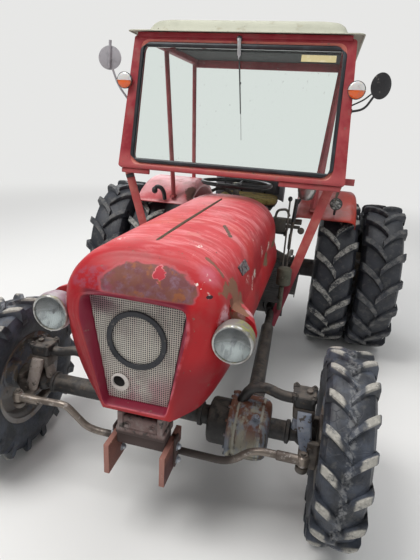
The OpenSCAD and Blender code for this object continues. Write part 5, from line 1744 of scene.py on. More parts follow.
def make_side_lamp(side, name):
    """A round side lamp beside the windscreen, clear above and amber below."""
    x, y, z = 645 * side, -886, 1788
    base = turned([(0.01, 30), (40, 30), (44, 26), (45, 14), (45.5, 8), (42, 6), (0.01, 6)], (x, y, z), Y,
                  48)
    inner = x - 40 * side
    arm = block((min(x, inner), y + 24, z - 12), (max(x, inner), y + 30, z + 12), 2)
    piece(joined(base, arm), "side_lamp_base_" + name, "tractor",
          finish(black_paint if side > 0 else black_plastic),
          ["indicator_lamps"] if side > 0 else ())
    lens = turned([(0.01, -1), (18, 0), (32, 1.6), (41, 5), (45.2, 11), (45.2, 14), (0.01, 14)], (x, y, z),
                  Y, 56)
    band = block((x - 45, y - 0.6, z - 1.2), (x + 45, y + 8, z + 1.2), 0.4)
    piece(joined(lens, band), "side_lamp_lens_" + name, "tractor", finish(clear_and_amber))


def mirror_head(x, z, width):
    """A mirror's shallow shell, narrowed or widened by a factor."""
    head = turned([(0.01, 16), (30, 15), (48, 11), (58, 4), (63, -2), (64, -5), (61, -6), (0.01, -6)],
                  (0, 0, 0), Y, 56)
    moved(head, TO_ORIGIN)
    moved(head, Matrix.Scale(width, 4, X))
    return moved(head, Matrix.Translation(at(x, -840, z)))


def make_mirror(side, name):
    """A mirror on its bent arm; the right one is larger and hangs from a pole."""
    if side > 0:
        z, elbow = 1815, 1700
        head = mirror_head(762, z, 0.78)
        second = tube([(634, -842, 1716), (690, -838, 1745), (738, -836, 1790)], 4, 20)
    else:
        z, elbow = 1905, 1760
        head = mirror_head(-750, z, 1.12)
        second = tube([(-744, -848, 1996), (-752, -852, 1850)], 8, 20)
    arm = tube([(636 * side, -844, 1686), (700 * side, -842, elbow), (752 * side, -838, z - 22)], 6, 40)
    foot = on_panel(block((612 if side > 0 else -640, 8, 380), (640 if side > 0 else -612, 32, 404), 2))
    paint = finish(black_plastic) if side > 0 else plain("mirror_grey", (0.30, 0.29, 0.31), 0.45)
    piece(joined(head, arm, second, foot), "mirror_" + name, "tractor", paint,
          ["mirrors"] if side > 0 else ())


class OBJECT_OT_tractor_cab(bpy.types.Operator):
    """Makes the cab's frame, the struts with bracket, strap and cup, the side lamps and the mirrors."""

    bl_idname = "object.tractor_cab"
    bl_label = "Cab frame"

    def execute(self, context):
        make_cab_frame()
        make_struts()
        make_dusty_bracket()
        make_hanging_cup()
        make_strap()
        for side, name in SIDES:
            make_side_lamp(side, name)
            make_mirror(side, name)
        return {"FINISHED"}


# Engine, gearbox and frame

def middle_blocks(table, round_by=5.0):
    """Rounded boxes over the middle from rows of half width, front, rear, low, high."""
    return [block((-w, y0, z0), (w, y1, z1), round_by, 2) for w, y0, y1, z0, z1 in table]


def make_engine_castings():
    """The block, its head, sump and covers with their ribs, plugs and bolts."""
    castings = middle_blocks(((150, -1640, -1000, 478, 830), (114, -1600, -1080, 829, 940),
                              (80, -1580, -1100, 939, 1040), (115, -1670, -1640, 560, 880)), 8)
    castings += middle_blocks(((158, -1630, -1010, 466, 479), (120, -1618, -1030, 420, 468)), 4)
    for y in range(-1590, -1020, 95):
        castings += [block((149, y - 5, 500), (156, y + 5, 810), 2),
                     block((-156, y - 5, 500), (-149, y + 5, 810), 2)]
    castings += [block((149, -1600, 560), (160, -1060, 572), 2),
                 block((149, -1600, 760), (158, -1060, 770), 2)]
    castings.append(both(bolts([(154, y, 478.5) for y in range(-1610, -1010, 60)], Z, 6, 5, False)))
    castings.append(both(bolts([(96, y, 940) for y in range(-1570, -1080, 80)], Z, 7, 7)))
    castings.append(bolts([(0, y, 1040) for y in (-1480, -1340, -1200)], Z, 8, 8))
    for y in (-1500, -1350, -1200):
        castings.append(drum((154, y, 660), X, 24, 12, 2, 32))
    piece(joined(*castings), "engine_castings", "tractor", finish(greasy_iron, GREY),
          ["engine_block"])


def make_injection_pump():
    """The injection pump with three pipes, and the dynamo below it."""
    pump = [block((150, -1430, 640), (205, -1200, 725), 8), block((160, -1430, 625), (212, -1380, 700), 6)]
    for i, y in enumerate((-1390, -1330, -1270)):
        pump.append(drum((180, y, 742), Z, 12, 34, 2, 24))
        end = -1500 + 150 * i
        pump.append(tube([(180, y, 755), (180, y, 800 + 14 * i), (150, y - 30, 880), (112, end, 930),
                          (96, end, 944)], 3.2, 26, 2))
    pump += [drum((190, -1365, 560), Y, 52, 200, 6, 48), drum((190, -1478, 560), Y, 48, 14, 3, 40),
             block((150, -1440, 570), (178, -1300, 600), 3), drum((190, -1500, 560), Y, 40, 16, 4, 40),
             tube([(230, -1290, 600), (250, -1250, 640), (215, -1100, 700), (170, -1010, 760)], 5, 40, 2)]
    piece(joined(*pump), "injection_pump_dynamo", "tractor", finish(greasy_iron, BROWN))


def make_fuel_filters():
    """Two filter bowls under one head."""
    filters = [block((112, -1150, 850), (240, -1010, 876), 5)]
    for y in (-1118, -1044):
        filters += [turned([(0.01, 0), (30, 2), (35, 8), (36, 14), (36, 92), (38, 94), (38, 108),
                            (0.01, 108)], (200, y, 742), Z, 40), bolts([(200, y, 876)], Z, 9, 8)]
    filters.append(tube([(205, -1150, 863), (205, -1210, 850), (190, -1260, 770), (190, -1300, 728)], 4, 30,
                        2))
    piece(joined(*filters), "fuel_filters", "tractor",
          plain("filter_silver_grey", (0.16, 0.16, 0.165), 0.5, 90.0, 0.5, 0.5, Metallic=0.2))


def make_manifold():
    """The exhaust manifold on the right side."""
    manifold = [block((-208, -1540, 800), (-158, -1160, 858), 12, 3)]
    for y in (-1500, -1350, -1200):
        manifold += [block((-165, y - 22, 806), (-149, y + 22, 850), 5),
                     bolts([(-156, y - 28, 828), (-156, y + 28, 828)], (-1, 0, 0), 7, 10)]
    piece(joined(*manifold), "exhaust_manifold", "tractor",
          plain("manifold_rust", (0.13, 0.065, 0.04), 0.8, 60.0, 1.2))


def make_fan():
    """The fan with its hub and pulleys."""
    fan = [drum((0, -1680, 900), Y, 24, 160, 3), drum((0, -1702, 900), Y, 62, 24, 5),
           drum((0, -1670, 620), Y, 74, 60, 6)]
    for i in range(4):
        blade = block((14, -1753, 868), (190, -1750, 932), 1)
        lean = (Matrix.Translation(at(0, -1752, 900)) @ Matrix.Rotation(math.pi / 2 * i, 4, "Y")
                @ Matrix.Rotation(0.5, 4, "X") @ Matrix.Translation(-at(0, -1752, 900)))
        fan.append(moved(blade, lean))
    piece(joined(*fan), "engine_fan", "tractor", finish(greasy_iron, BLACK))


def make_radiator():
    """The radiator: two tanks, two sides, fins and a black sheet before them that stands for the shade
    inside the nose.
    """
    core = [block((-150, -2110, 1030), (150, -2040, 1060), 8),
            block((-150, -2110, 640), (150, -2040, 672), 6),
            block((-150, -2108, 660), (-138, -2042, 1040), 2),
            block((138, -2108, 660), (150, -2042, 1040), 2),
            block((-140, -2098, 660), (140, -2052, 1040), 0), block((-60, -2100, 470), (60, -2050, 640), 4),
            # A black sheet behind the grille's mesh: painted shade inside the nose.
            shell([at(x, -2116, z) for x, z in ((-150, 612), (150, 612), (232, 1040), (-232, 1040))],
                  [(0, 1, 2, 3)])]
    for x in range(-135, 145, 10):
        core.append(block((x - 1, -2104, 668), (x + 1, -2046, 1034), 0))
    piece(joined(*core), "radiator_core", "tractor",
          plain("radiator_black", (0.012, 0.012, 0.013), 0.55, 80.0, 0.4), ["radiator"])


class OBJECT_OT_tractor_engine(bpy.types.Operator):
    """Makes the engine with its pump, filters, dynamo, manifold and fan, and the radiator before it."""

    bl_idname = "object.tractor_engine"
    bl_label = "Engine"

    def execute(self, context):
        make_engine_castings()
        make_injection_pump()
        make_fuel_filters()
        make_manifold()
        make_fan()
        make_radiator()
        return {"FINISHED"}


def make_gearbox():
    """The gearbox with its ribs, the side drive and their bolts."""
    box = middle_blocks(((150, -1000, -940, 410, 790), (130, -941, -190, 400, 700),
                         (100, -880, -300, 699, 720), (138, -829, -811, 420, 680),
                         (138, -649, -631, 420, 680), (138, -469, -451, 420, 680),
                         (142, -941, -922, 404, 706), (142, -212, -190, 404, 706)), 6)
    box += [block((129, -690, 400), (300, -560, 510), 14, 3), drum((320, -625, 455), Y, 62, 130, 10),
            drum((320, -691, 455), Y, 44, 12, 3)]
    box.append(bolts(ring_of(6, 50, -691, (320, 0, 455), "Y", 0.3), (0, -1, 0), 6, 6))
    box.append(bolts([(x, y, 720) for x in (-88, 88) for y in range(-860, -300, 90)], Z, 7, 6))
    box.append(both(bolts([(150, -970, z) for z in (450, 560, 670, 760)], X, 8, 8)))
    box.append(both(drum((134, -730, 560), X, 46, 14, 3)))
    piece(joined(*box), "gearbox_castings", "tractor", finish(greasy_iron, GREY),
          ["gearbox_housing"])


def make_prop_shaft():
    """The shaft to the front axle with its cross joint."""
    front, run = Vector((383, -1770, 430)), Vector((-57, 1090, 25)).normalized()
    joint = [turned([(0.01, 0), (40, 0), (45, 4), (46, 14), (44, 24), (28, 28), (0.01, 28)], tuple(front),
                    tuple(run), 40),
             turned([(0.01, 80), (28, 82), (44, 86), (46, 92), (44, 102), (37, 108), (36, 120),
                     (0.01, 120)], tuple(front), tuple(run), 40),
             ball(tuple(front + 55 * run), 25, (1, 1, 1), 28),
             drum(tuple(front + 55 * run), X, 17, 86, 3, 28),
             drum(tuple(front + 55 * run), Z, 17, 80, 3, 28)]
    joint += [block((front.x + x, -1752, 414), (front.x + x + 12, -1700, 447), 4) for x in (-42, 27)]
    joint += [block((front.x - 16, -1738, 431 + z), (front.x + 14, -1684, 442 + z), 4) for z in (26, -40)]
    thick = turned([(0.01, 100), (36, 104), (36, 748), (33, 756), (26, 762), (0.01, 762)], tuple(front),
                   tuple(run), 48)
    thin = turned([(0.01, 700), (24, 704), (24, 975), (34, 980), (34, 1072), (0.01, 1078)], tuple(front),
                  tuple(run), 40)
    piece(joined(thick, thin, *joint), "front_drive_shaft", "tractor", finish(greasy_iron, BLACK),
          ["prop_shaft"])


def make_rear_axle():
    """The rear axle's housing with its trumpets and stays."""
    rear = middle_blocks(((170, -190, 170, 360, 770), (176, -60, -40, 366, 764), (176, 100, 120, 366, 764)),
                         12)
    half = [turned([(0.01, 158), (148, 160), (152, 172), (140, 196), (116, 250), (88, 320), (72, 360),
                    (68, 392), (82, 394), (82, 408), (68, 410), (68, 560), (100, 590), (112, 606),
                    (150, 610), (152, 616), (152, 666), (148, 670), (60, 671), (0.01, 671)], (0, 0, 543), X,
                   64), drum((700, 0, 543), X, 39, 70, 3),
            bolts(ring_of(10, 128, 609, (0, 0, 543), "X"), (-1, 0, 0), 9, 9)]
    half += [bar((176, r * 120, 543 + s * 60), (420, r * 60, 543 + s * 40), 10, 16, 0, 3)
             for r, s in ((1, 1), (-1, 1), (1, -1), (-1, -1))]
    rear.append(both(joined(*half)))
    rear.append(bolts([(x, y, 770) for x in (-150, 150) for y in (-170, -110, 120, 154)], Z, 8, 8))
    piece(joined(*rear), "rear_axle_castings", "tractor", finish(greasy_iron, GREY),
          ["rear_axle_housing"])


def make_exhaust():
    """The exhaust: pipe, pot, bands and tail."""
    pipe = tube([(-150, -1300, 700), (-220, -1300, 700), (-268, -1250, 520), (-268, -1120, 500)], 22, 60, 6)
    pot = turned([(22, 0), (40, 4), (51, 18), (52, 30), (52, 410), (51, 422), (40, 436), (20, 440),
                  (20, 0)], (-268, -1140, 500), Y, 56, ring=True)
    bands = [drum((-268, y, 500), Y, 53.5, 10, 1.5) for y in (-1100, -740)]
    tail = tube([(-268, -705, 500), (-268, -560, 500)], 20, 0, 6)
    rust = plain("exhaust_rust", (0.145, 0.075, 0.05), 0.78, 60.0, 0.8, 0.55)
    piece(joined(pipe, pot, *bands, tail), "exhaust_rusty", "tractor", rust, ["exhaust"])


class OBJECT_OT_tractor_driveline(bpy.types.Operator):
    """Makes the gearbox, the side drive with its shaft, the rear axle housing and the exhaust."""

    bl_idname = "object.tractor_driveline"
    bl_label = "Driveline"

    def execute(self, context):
        make_gearbox()
        make_prop_shaft()
        make_rear_axle()
        make_exhaust()
        return {"FINISHED"}


def make_front_castings():
    """The two rails and the cross pieces that carry the nose."""
    rails = both(joined(block((124.5, -2106, 296), (134, -2066, 430), 2),
                        block((70, -2150, 455), (92, -1641, 540), 4),
                        block((70, -1800, 330), (92, -1641, 456), 4)))
    cross = [block((-101, -2150, 436), (101, -2040, 470), 8, 3),
             block((-101, -2140, 384), (101, -2064, 445), 6, 2),
             block((-92, -1920, 500), (92, -1800, 540), 5), block((-92, -1660, 420), (92, -1641, 540), 3),
             block((-72, -2146, 452), (72, -2120, 520), 10, 3),
             bolts([(-50, -2148, 486), (50, -2148, 486)], (0, -1, 0), 9, 8)]
    piece(joined(rails, *cross), "front_frame_castings", "tractor", finish(front_casting),
          ["front_frame"])


def make_front_plates():
    """The two primed end plates, drawn out over the tie rod."""
    plate = both(joined(block((102, -2205, 283), (124, -2060, 417), 1.6),
                        block((102, -2075, 352), (124, -2004, 417), 1.6)))
    piece(plate, "front_plates_primed", "tractor", finish(primer_brown), ["front_plates"])


def make_plate_bolts():
    """The bright bolts through the end plates."""
    heads = [both(joined(bolts([(134.5, -2085, z)], X, 12, 10),
                         bolts([(101.5, -2085, z)], (-1, 0, 0), 12, 10),
                         drum((118, -2085, z), X, 7, 62, 1, 20))) for z in (318, 382)]
    piece(joined(*heads), "front_plate_bolts", "tractor", finish(zinc))


def make_tie_rod():
    """The bent tie rod with its sleeves and ball joints."""
    y = AXLE_Y - 180
    path = [(-600, y, 410), (-440, y, 418), (-385, y, 420), (-290, y, 334), (-240, y, 324), (340, y, 322),
            (426, y, 411), (600, y, 410)]
    rod = tube(path, 15, 56, 6)
    ends = []
    for side in (1, -1):
        ends += [turned([(9.5, -22), (17, -22), (21, -19), (24, -8), (24, 8), (21, 20), (14, 26),
                         (9.5, 26)], (618 * side, y, 410), Z, 36, ring=True),
                 turned([(14, 0), (19, 2), (19, 84), (16, 88), (14.5, 88), (14.5, 0)], (604 * side, y, 410),
                        (-side, 0, 0), 32, ring=True),
                 bolts([(552 * side, y, 410)], (side, 0, 0), 18, 12, False)]
    piece(joined(rod, *ends), "tie_rod_bent", "tie_rod", finish(old_steel), ["tie_rod"])


class OBJECT_OT_tractor_front_frame(bpy.types.Operator):
    """Makes the front castings, the two bolted plates and the tie rod."""

    bl_idname = "object.tractor_front_frame"
    bl_label = "Front frame"

    def execute(self, context):
        make_front_castings()
        make_front_plates()
        make_plate_bolts()
        make_tie_rod()
        return {"FINISHED"}


def make_axle_beam():
    """The axle's tube with its necks, pad and the arms over the knuckles."""
    y = AXLE_Y
    beam = drum((0, y, 388), X, 42, 1080, 3, 48)
    neck = both(joined(turned([(0.01, 520), (41, 522), (43, 536), (50, 540), (50, 552), (36, 558),
                               (33, 575), (33, 590), (0.01, 590)], (0, y, 388), X, 40),
                       ball((616, y, 388), 49, (1, 1, 1), 32)))
    narrow = turned([(0.01, 210), (82, 211), (94, 216), (99, 226), (99, 302), (90, 306), (0.01, 306)],
                    (0, y, 372), X, 72)
    collars = both(drum((170, y, 388), X, 52, 18, 3, 48))
    pad = block((-60, y - 38, 355), (60, y + 38, 500), 8)
    arms = []
    for side in (1, -1):
        head = stacked([(598, y, 545, 44, 44), (596, y, 566, 45, 46), (594, y, 574, 47, 47),
                        (594, y, 590, 47, 47), (594, y, 594, 44, 44)], 16)
        ears = [stacked([(594 + a * 37, y + b * 37, 576, 12, 12), (594 + a * 37, y + b * 37, 597, 13, 13),
                         (594 + a * 37, y + b * 37, 600, 10, 10)], 11) for a in (-1, 1) for b in (-1, 1)]
        ears.append(bolts([(594 + a * 37, y + b * 37, 600) for a in (-1, 1) for b in (-1, 1)], Z, 7, 5))
        arm = tube([(560, y, 556), (505, y, 556), (430, y, 582), (372, y, 560), (330, y, 470),
                    (318, y, 400)], 22, 70, 7)
        made = joined(head, *ears, arm)
        arms.append(moved(made, MIRROR) if side < 0 else made)
    piece(joined(beam, neck, narrow, collars, pad, *arms), "front_axle_beam", "tractor",
          finish(greasy_iron, BLACK), ["front_axle"])


def make_axle_drum():
    """The offset drive's drum with its bolts, ribs and filler."""
    y = AXLE_Y
    rim = turned([(96, 303), (120, 303), (138, 304), (140, 308), (140, 320), (137, 323), (130, 324),
                  (127, 328), (129.5, 336), (132.5, 350), (134, 372), (134, 398), (132.5, 420), (129, 440),
                  (122, 456), (112, 466), (92, 470), (60, 471), (0.01, 471), (0.01, 303)], (0, y, 372), X,
                 96)
    heads = bolts(ring_of(14, 131, 303, (0, y, 372), "X", 0.2), (-1, 0, 0), 7, 7, False)
    nuts = bolts(ring_of(14, 134.5, 323, (0, y, 372), "X", 0.2), X, 6, 5, False)
    ribs = []
    for a in (0.6, 1.6, 2.6, 3.6, 4.6, 5.6):
        rib_y, rib_z = y + 133 * math.cos(a), 372 + 133 * math.sin(a)
        ribs.append(bar((345, rib_y, rib_z), (440, rib_y, rib_z), 4, 8, math.degrees(a), 1))
    boss = joined(drum((418, y - 60, 452), (0, -0.6, 1), 16, 60, 3, 28),
                  bolts([(418, y - 80, 484)], (0, -0.6, 1), 12, 10))
    piece(joined(rim, heads, nuts, boss, *ribs), "front_axle_drum", "tractor", finish(drum_paint))


def make_knuckles():
    """Both steering knuckles with their legs."""
    y = AXLE_Y
    for side, name in SIDES:
        parts = [stacked([(602, y, 484, 38, 40), (600, y, 490, 43, 44), (598, y, 534, 45, 46),
                          (598, y, 540, 42, 43)], 14), drum((612, y, 600), Z, 13, 12, 3, 32),
                 block((602, y - 84, 296), (640, y + 84, 318), 7, 3),
                 block((670, y - 84, 318), (690, y + 84, 448), 5, 2), drum((702, y, 388), X, 60, 32, 4, 56),
                 drum((746, y, 388), X, 24.4, 90, 3, 40), drum((616, y - 180, 373), Z, 24, 20, 4, 36),
                 drum((616, y - 180, 402), Z, 8.8, 76, 1, 28),
                 stacked([(618, y - 116, 364, 17, 66), (618, y - 116, 368, 20, 68),
                          (618, y - 116, 380, 20, 68), (618, y - 116, 384, 17, 66)], 16),
                 bolts([(616, y - 180, 438)], Z, 11, 8), bolts([(616, y - 180, 362)], (0, 0, -1), 11, 8)]
        legs = [stacked([(602, y - 48, 530, 27, 15), (606, y - 60, 490, 30, 16), (618, y - 76, 420, 27, 16),
                         (630, y - 84, 350, 20, 15), (636, y - 86, 326, 14, 12)], 12),
                stacked([(586, y + 4, 500, 15, 20), (578, y + 2, 450, 19, 22), (572, y, 392, 19, 20),
                         (571, y, 376, 15, 15), (571, y, 368, 8, 8)], 14),
                bar((616, y + 40, 511), (620, y + 84, 348), 26, 34, 90, 8)]
        for s in (-1, 1):
            parts += [block((628, y + s * 84 - 13, 300), (676, y + s * 84 + 13, 428), 7, 3),
                      bolts([(640, y + s * 97, 340), (640, y + s * 97, 400)], (0, s, 0), 9, 8)]
        parts.append(bolts(ring_of(6, 48, 686, (0, y, 388), "X"), (-1, 0, 0), 7, 6, False))
        made = [joined(*parts), joined(*legs)]
        if side < 0:
            made = [moved(obj, MIRROR) for obj in made]
        piece(made[0], "knuckle_cast_" + name, "knuckle_" + name, finish(greasy_iron, BROWN),
              ["knuckle_" + name])
        piece(made[1], "knuckle_legs_" + name, "knuckle_" + name, finish(knuckle_leg, side))


class OBJECT_OT_tractor_front_axle(bpy.types.Operator):
    """Makes the front axle with its offset drum and both steering knuckles."""

    bl_idname = "object.tractor_front_axle"
    bl_label = "Front axle"

    def execute(self, context):
        make_axle_beam()
        make_axle_drum()
        make_knuckles()
        return {"FINISHED"}


# Driver's place

# The steering wheel leans two degrees back; its parts are made about the rear axle's middle
ON_HUB = (Matrix.Translation(at(0, -560, 1205)) @ Matrix.Rotation(math.radians(-2), 4, "X")
          @ TO_ORIGIN)
SPOKES = (90, 210, 330)


def wall(r0, r1, low, high, spread):
    """A curved wall behind the seat, lower towards its ends."""
    loops = []
    for i in range(41):
        t = -1 + i / 20
        a = math.radians(90 + spread * t)
        drop = 34 * abs(t) ** 6
        top = high - drop
        ring = ((r1, low), (r1 + 2, (low + top) / 2), (r1 + 1, top - 6), (r1 - 2, top), (r0 + 2, top),
                (r0 - 1, top - 6), (r0, (low + top) / 2), (r0, low))
        loops.append([at(r * math.cos(a), -60 + r * math.sin(a), z) for r, z in ring])
    return loft(loops, caps=True)


def make_seat_stand():
    """The seat's plate, post and spring."""
    stand = [block((-90, -60, 770), (90, 150, 800), 6), block((-30, 0, 799), (30, 80, 997), 8),
             block((-200, -180, 996), (200, 212, 1010), 5, 2), block((-110, 190, 996), (-90, 198, 1078), 2),
             block((90, 190, 996), (110, 198, 1078), 2)]
    stand += [drum((0, 40, z), Z, 42, 12, 5, 40) for z in range(815, 972, 26)]
    piece(joined(*stand), "seat_spring_stand", "tractor", finish(greasy_iron, BLACK),
          ["seat_frame"])


def make_seat_shell():
    """The faded shell round the back."""
    piece(wall(271, 279, 1040, 1234, 76), "seat_back_shell", "tractor",
          plain("seat_shell_lavender", (0.34, 0.33, 0.375), 0.5, 120.0, 0.3))


def make_seat_cushion():
    """The torn cushion."""
    pad = stacked([(0, -25, 1011, 206, 147), (0, -25, 1018, 218, 159), (0, -25, 1034, 222, 163),
                   (0, -25, 1056, 222, 163), (0, -25, 1070, 214, 155), (0, -25, 1077, 196, 137)], 88, 8)
    modify(pad, "SUBSURF", levels=2, subdivision_type="SIMPLE")
    piece(pad, "seat_torn_cushion", "tractor", finish(old_foam), ["seat_cushions"], 60)


def make_back_cushion():
    """The padding inside the shell."""
    back = wall(228, 270, 1083, 1223, 56)
    piece(rounded(back, 8, 3, 50), "seat_back_cushion", "tractor", finish(seat_grey), (),
          60)


class OBJECT_OT_tractor_seat(bpy.types.Operator):
    """Makes the seat: its stand, faded shell, torn cushion and backrest."""

    bl_idname = "object.tractor_seat"
    bl_label = "Seat"

    def execute(self, context):
        make_seat_stand()
        make_seat_shell()
        make_seat_cushion()
        make_back_cushion()
        return {"FINISHED"}


def make_dash_body():
    """The dash with its hinge lugs and screws."""
    dash = [block((-240, -764, 720), (240, -700, 1120), 14, 3),
            block((-228, -702, 960), (228, -694, 1106), 4)]
    dash.append(both(joined(block((118, -807, 1110), (134, -789, 1160), 3),
                            block((118, -798, 1100), (134, -763, 1119), 2),
                            drum((138, -798, 1152), X, 5.8, 38, 1, 24))))
    dash += [bolts([(x, -697, z) for x in (-216, 216) for z in (972, 1094)], Y, 5, 4, False)]
    piece(joined(*dash), "dash_body", "tractor", finish(greasy_iron, GREY), ["dash_panel"])


def make_gauges():
    """The gauges' rims and faces, and the knobs below them."""
    gauges, faces = [], []
    for x, r in ((-130, 34), (-40, 26), (70, 46), (160, 26)):
        gauges.append(turned([(r, 0), (r + 2, 3), (r, 7), (r - 3, 7), (r - 4, 3), (r - 4, 0)],
                             (x, -695, 1040), Y, 40, ring=True))
        faces.append(drum((x, -693, 1040), Y, r - 4, 4, 0.5, 40))
    gauges += [drum((x, -688, 988), Y, 9, 14, 2, 24) for x in (-180, -90, 20, 110, 190)]
    piece(joined(*gauges), "dash_gauge_rims", "tractor", finish(bright_steel))
    piece(joined(*faces), "dash_gauge_faces", "tractor", plain("gauge_face", (0.05, 0.05, 0.052), 0.25))


def make_steering_wheel():
    """The steering wheel's grip, hub and three spokes."""
    grip = [(222 + 12.6 * math.cos(math.pi * i / 8), 18 + 12.6 * math.sin(math.pi * i / 8))
            for i in range(16)]
    rim = turned(grip, (0, 0, 0), Z, 96, ring=True)
    wheel = [rim,
             turned([(13, -14), (27, -14), (30, -8), (30, 12), (26, 19), (13, 20)], (0, 0, 0), Z, 48,
                    ring=True)]
    for a in SPOKES:
        c, s = math.cos(math.radians(a)), math.sin(math.radians(a))
        wheel.append(tube([(20 * c, 20 * s, 2), (120 * c, 120 * s, 4), (222 * c, 222 * s, 18)], 7, 60, 4))
    piece(moved(joined(*wheel), ON_HUB), "steering_wheel_rim", "steering_wheel",
          plain("steering_wheel_black", (0.016, 0.016, 0.018), 0.3, 160.0, 0.15),
          ["steering_wheel"])


def make_wheel_plates():
    """The bright cap and plates on the steering wheel."""
    discs = [turned([(0.01, 24), (14, 23.5), (22, 20), (24, 17), (0.01, 17)], (0, 0, 0), Z, 40)]
    for a in SPOKES:
        turn = Matrix.Rotation(math.radians(a), 4, "Z")
        plate = block((36, -11, 5), (118, 11, 8), 1)
        discs.append(moved(plate, FROM_ORIGIN @ turn @ TO_ORIGIN))
    piece(moved(joined(*discs), ON_HUB), "steering_wheel_bright", "steering_wheel", finish(bright_steel))


class OBJECT_OT_tractor_dash(bpy.types.Operator):
    """Makes the dash with its gauges, and the steering wheel."""

    bl_idname = "object.tractor_dash"
    bl_label = "Dash and steering"

    def execute(self, context):
        make_dash_body()
        make_gauges()
        make_steering_wheel()
        make_wheel_plates()
        return {"FINISHED"}


def steering_column():
    """The column from the wheel's hub down to its foot."""
    return moved(joined(drum((0, 0, -8), Z, 11.8, 24, 1, 28), drum((0, 0, -252), Z, 20, 464, 2, 40),
                        drum((0, 0, -474), Z, 40, 24, 4, 40)), ON_HUB)


def make_column_sleeve():
    """The sleeve and switch round the column's upper end."""
    sleeve = moved(joined(drum((0, 0, -86), Z, 30, 66, 5, 40), ball((-96, -40, -10), 27, (1.3, 1, 0.8), 28),
                          tube([(-150, -60, -40), (-96, -40, -10), (-20, -20, -50)], 10, 30)), ON_HUB)
    piece(sleeve, "steering_column_sleeve", "tractor", finish(old_steel))


def make_canister():
    """The grey green canister beside the left footboard."""
    canister = joined(drum((396, -890, 742), Z, 44, 108, 12, 48), drum((390, -890, 598), Z, 15, 150))
    piece(canister, "footboard_canister", "tractor",
          plain("canister_grey_green", (0.085, 0.085, 0.060), 0.7, 60.0, 0.5))


def make_levers_and_pedals():
    """The column, all levers with their knobs, the valve block and the pedals."""
    rods, knobs = [steering_column()], []
    for x in (60, -60):
        top = Vector((x * 1.8, -470, 968))
        rods.append(tube([(x, -420, 723), (x * 1.2, -436, 800), tuple(top)], 6.5, 60, 4))
        rods.append(turned([(0.01, 0), (24, 0), (24, 4), (18, 16), (9, 34), (0.01, 34)], (x, -420, 720.5),
                           Z, 36))
        knobs.append(ball(tuple(top), 18, (1, 1, 1), 28))
    for x, lean, height in ((362, -8, 1140), (388, 6, 1040)):
        rods.append(tube([(x, -560, 598), (x - 3, -548, 760), (x + lean, -500, height)], 6, 100, 4))
        rods.append(block((x - 9, -572, 597), (x + 9, -548, 612), 3))
    knobs += [ball((354, -499, 1146), 15, (1, 1, 1.15), 28),
              tube([(391, -512, 1000), (398, -498, 1150)], 13, 30),
              tube([(395, -500, 1110), (412, -500, 1128), (420, -500, 1158)], 7, 14)]
    rods += [block((232, -330, 880), (330, -262, 975), 6), block((300, -322, 912), (432, -300, 934), 3),
             drum((380, -300, 960), X, 20, 120, 4, 32), ball((442, -310, 900), 24, (1, 1, 1), 28),
             tube([(250, -300, 970), (262, -300, 1030), (330, -320, 1046), (352, -360, 1006)], 9, 26)]
    for x in (-268, -196, 240):
        rods += [bar((x, -752, 604), (x, -722, 700), 58, 7, 0, 2),
                 block((x - 12, -760, 597), (x + 12, -730, 612), 3)]
        for k in range(5):
            z = 622 + 17 * k
            rods.append(block((x - 24, -752 + (z - 604) * 0.3125 + 3, z),
                              (x + 24, -752 + (z - 604) * 0.3125 + 6, z + 5), 1))
    piece(joined(*rods), "levers_and_pedals", "tractor", finish(greasy_iron, BROWN),
          ["controls"])
    piece(joined(*knobs), "lever_knobs", "tractor", finish(black_plastic))


def make_footboards():
    """The ribbed footboards with their hangers."""
    boards = [both(joined(block((138, -780, 590), (470, -300, 596), 2),
                          block((150, -960, 590), (385, -779, 596), 2),
                          block((366, -795, 435), (407, -787, 594), 3),
                          block((464, -780, 572), (470, -300, 592), 2),
                          bar((300, -780, 588), (300, -310, 588), 30, 6, 0, 1)))]
    treads = [block((150, y, 595.5), (455, y + 6, 598), 1) for y in range(-760, -304, 38)]
    boards.append(both(joined(*treads)))
    piece(joined(*boards), "footboards_ribbed", "tractor",
          plain("footboard_black", (0.03, 0.028, 0.027), 0.6, 60.0, 0.6), ["footboards"])


class OBJECT_OT_tractor_controls(bpy.types.Operator):
    """Makes the column with its sleeve, the levers, pedals, canister and footboards."""

    bl_idname = "object.tractor_controls"
    bl_label = "Controls"

    def execute(self, context):
        make_column_sleeve()
        make_canister()
        make_levers_and_pedals()
        make_footboards()
        return {"FINISHED"}


# Hitch

# Behind the axle and up: the lower links' pin; the lift rods stand part of the way along the links
LINK_PIN = (205, 400)
LINK_LENGTH = 700
LIFT_REACH, LIFT_HEIGHT = 380, 360
LIFT_X = 210 + 130 * LIFT_REACH / LINK_LENGTH


def make_lower_links():
    """The two lower links with their ball ends and lift pins."""
    y, z = LINK_PIN
    end = y + LINK_LENGTH
    link = [drum((210, y, z), X, 32, 24, 3, 48), bar((210, y + 10, z), (340, end - 10, z), 58, 17, 90, 5),
            turned([(11.2, -18), (26, -18), (30, -12), (30, 12), (26, 18), (11.2, 18)], (340, end, z), X,
                   48, ring=True), drum((LIFT_X + 12, y + LIFT_REACH, z), X, 16, 30, 2, 32),
            drum((LIFT_X + 34, y + LIFT_REACH, z), X, 10, 40, 1, 32),
            bolts([(LIFT_X + 52, y + LIFT_REACH, z)], X, 13, 8)]
    piece(both(joined(*link)), "lower_links_forged", "lower_links", finish(greasy_iron, BROWN),
          ["lower_links"])


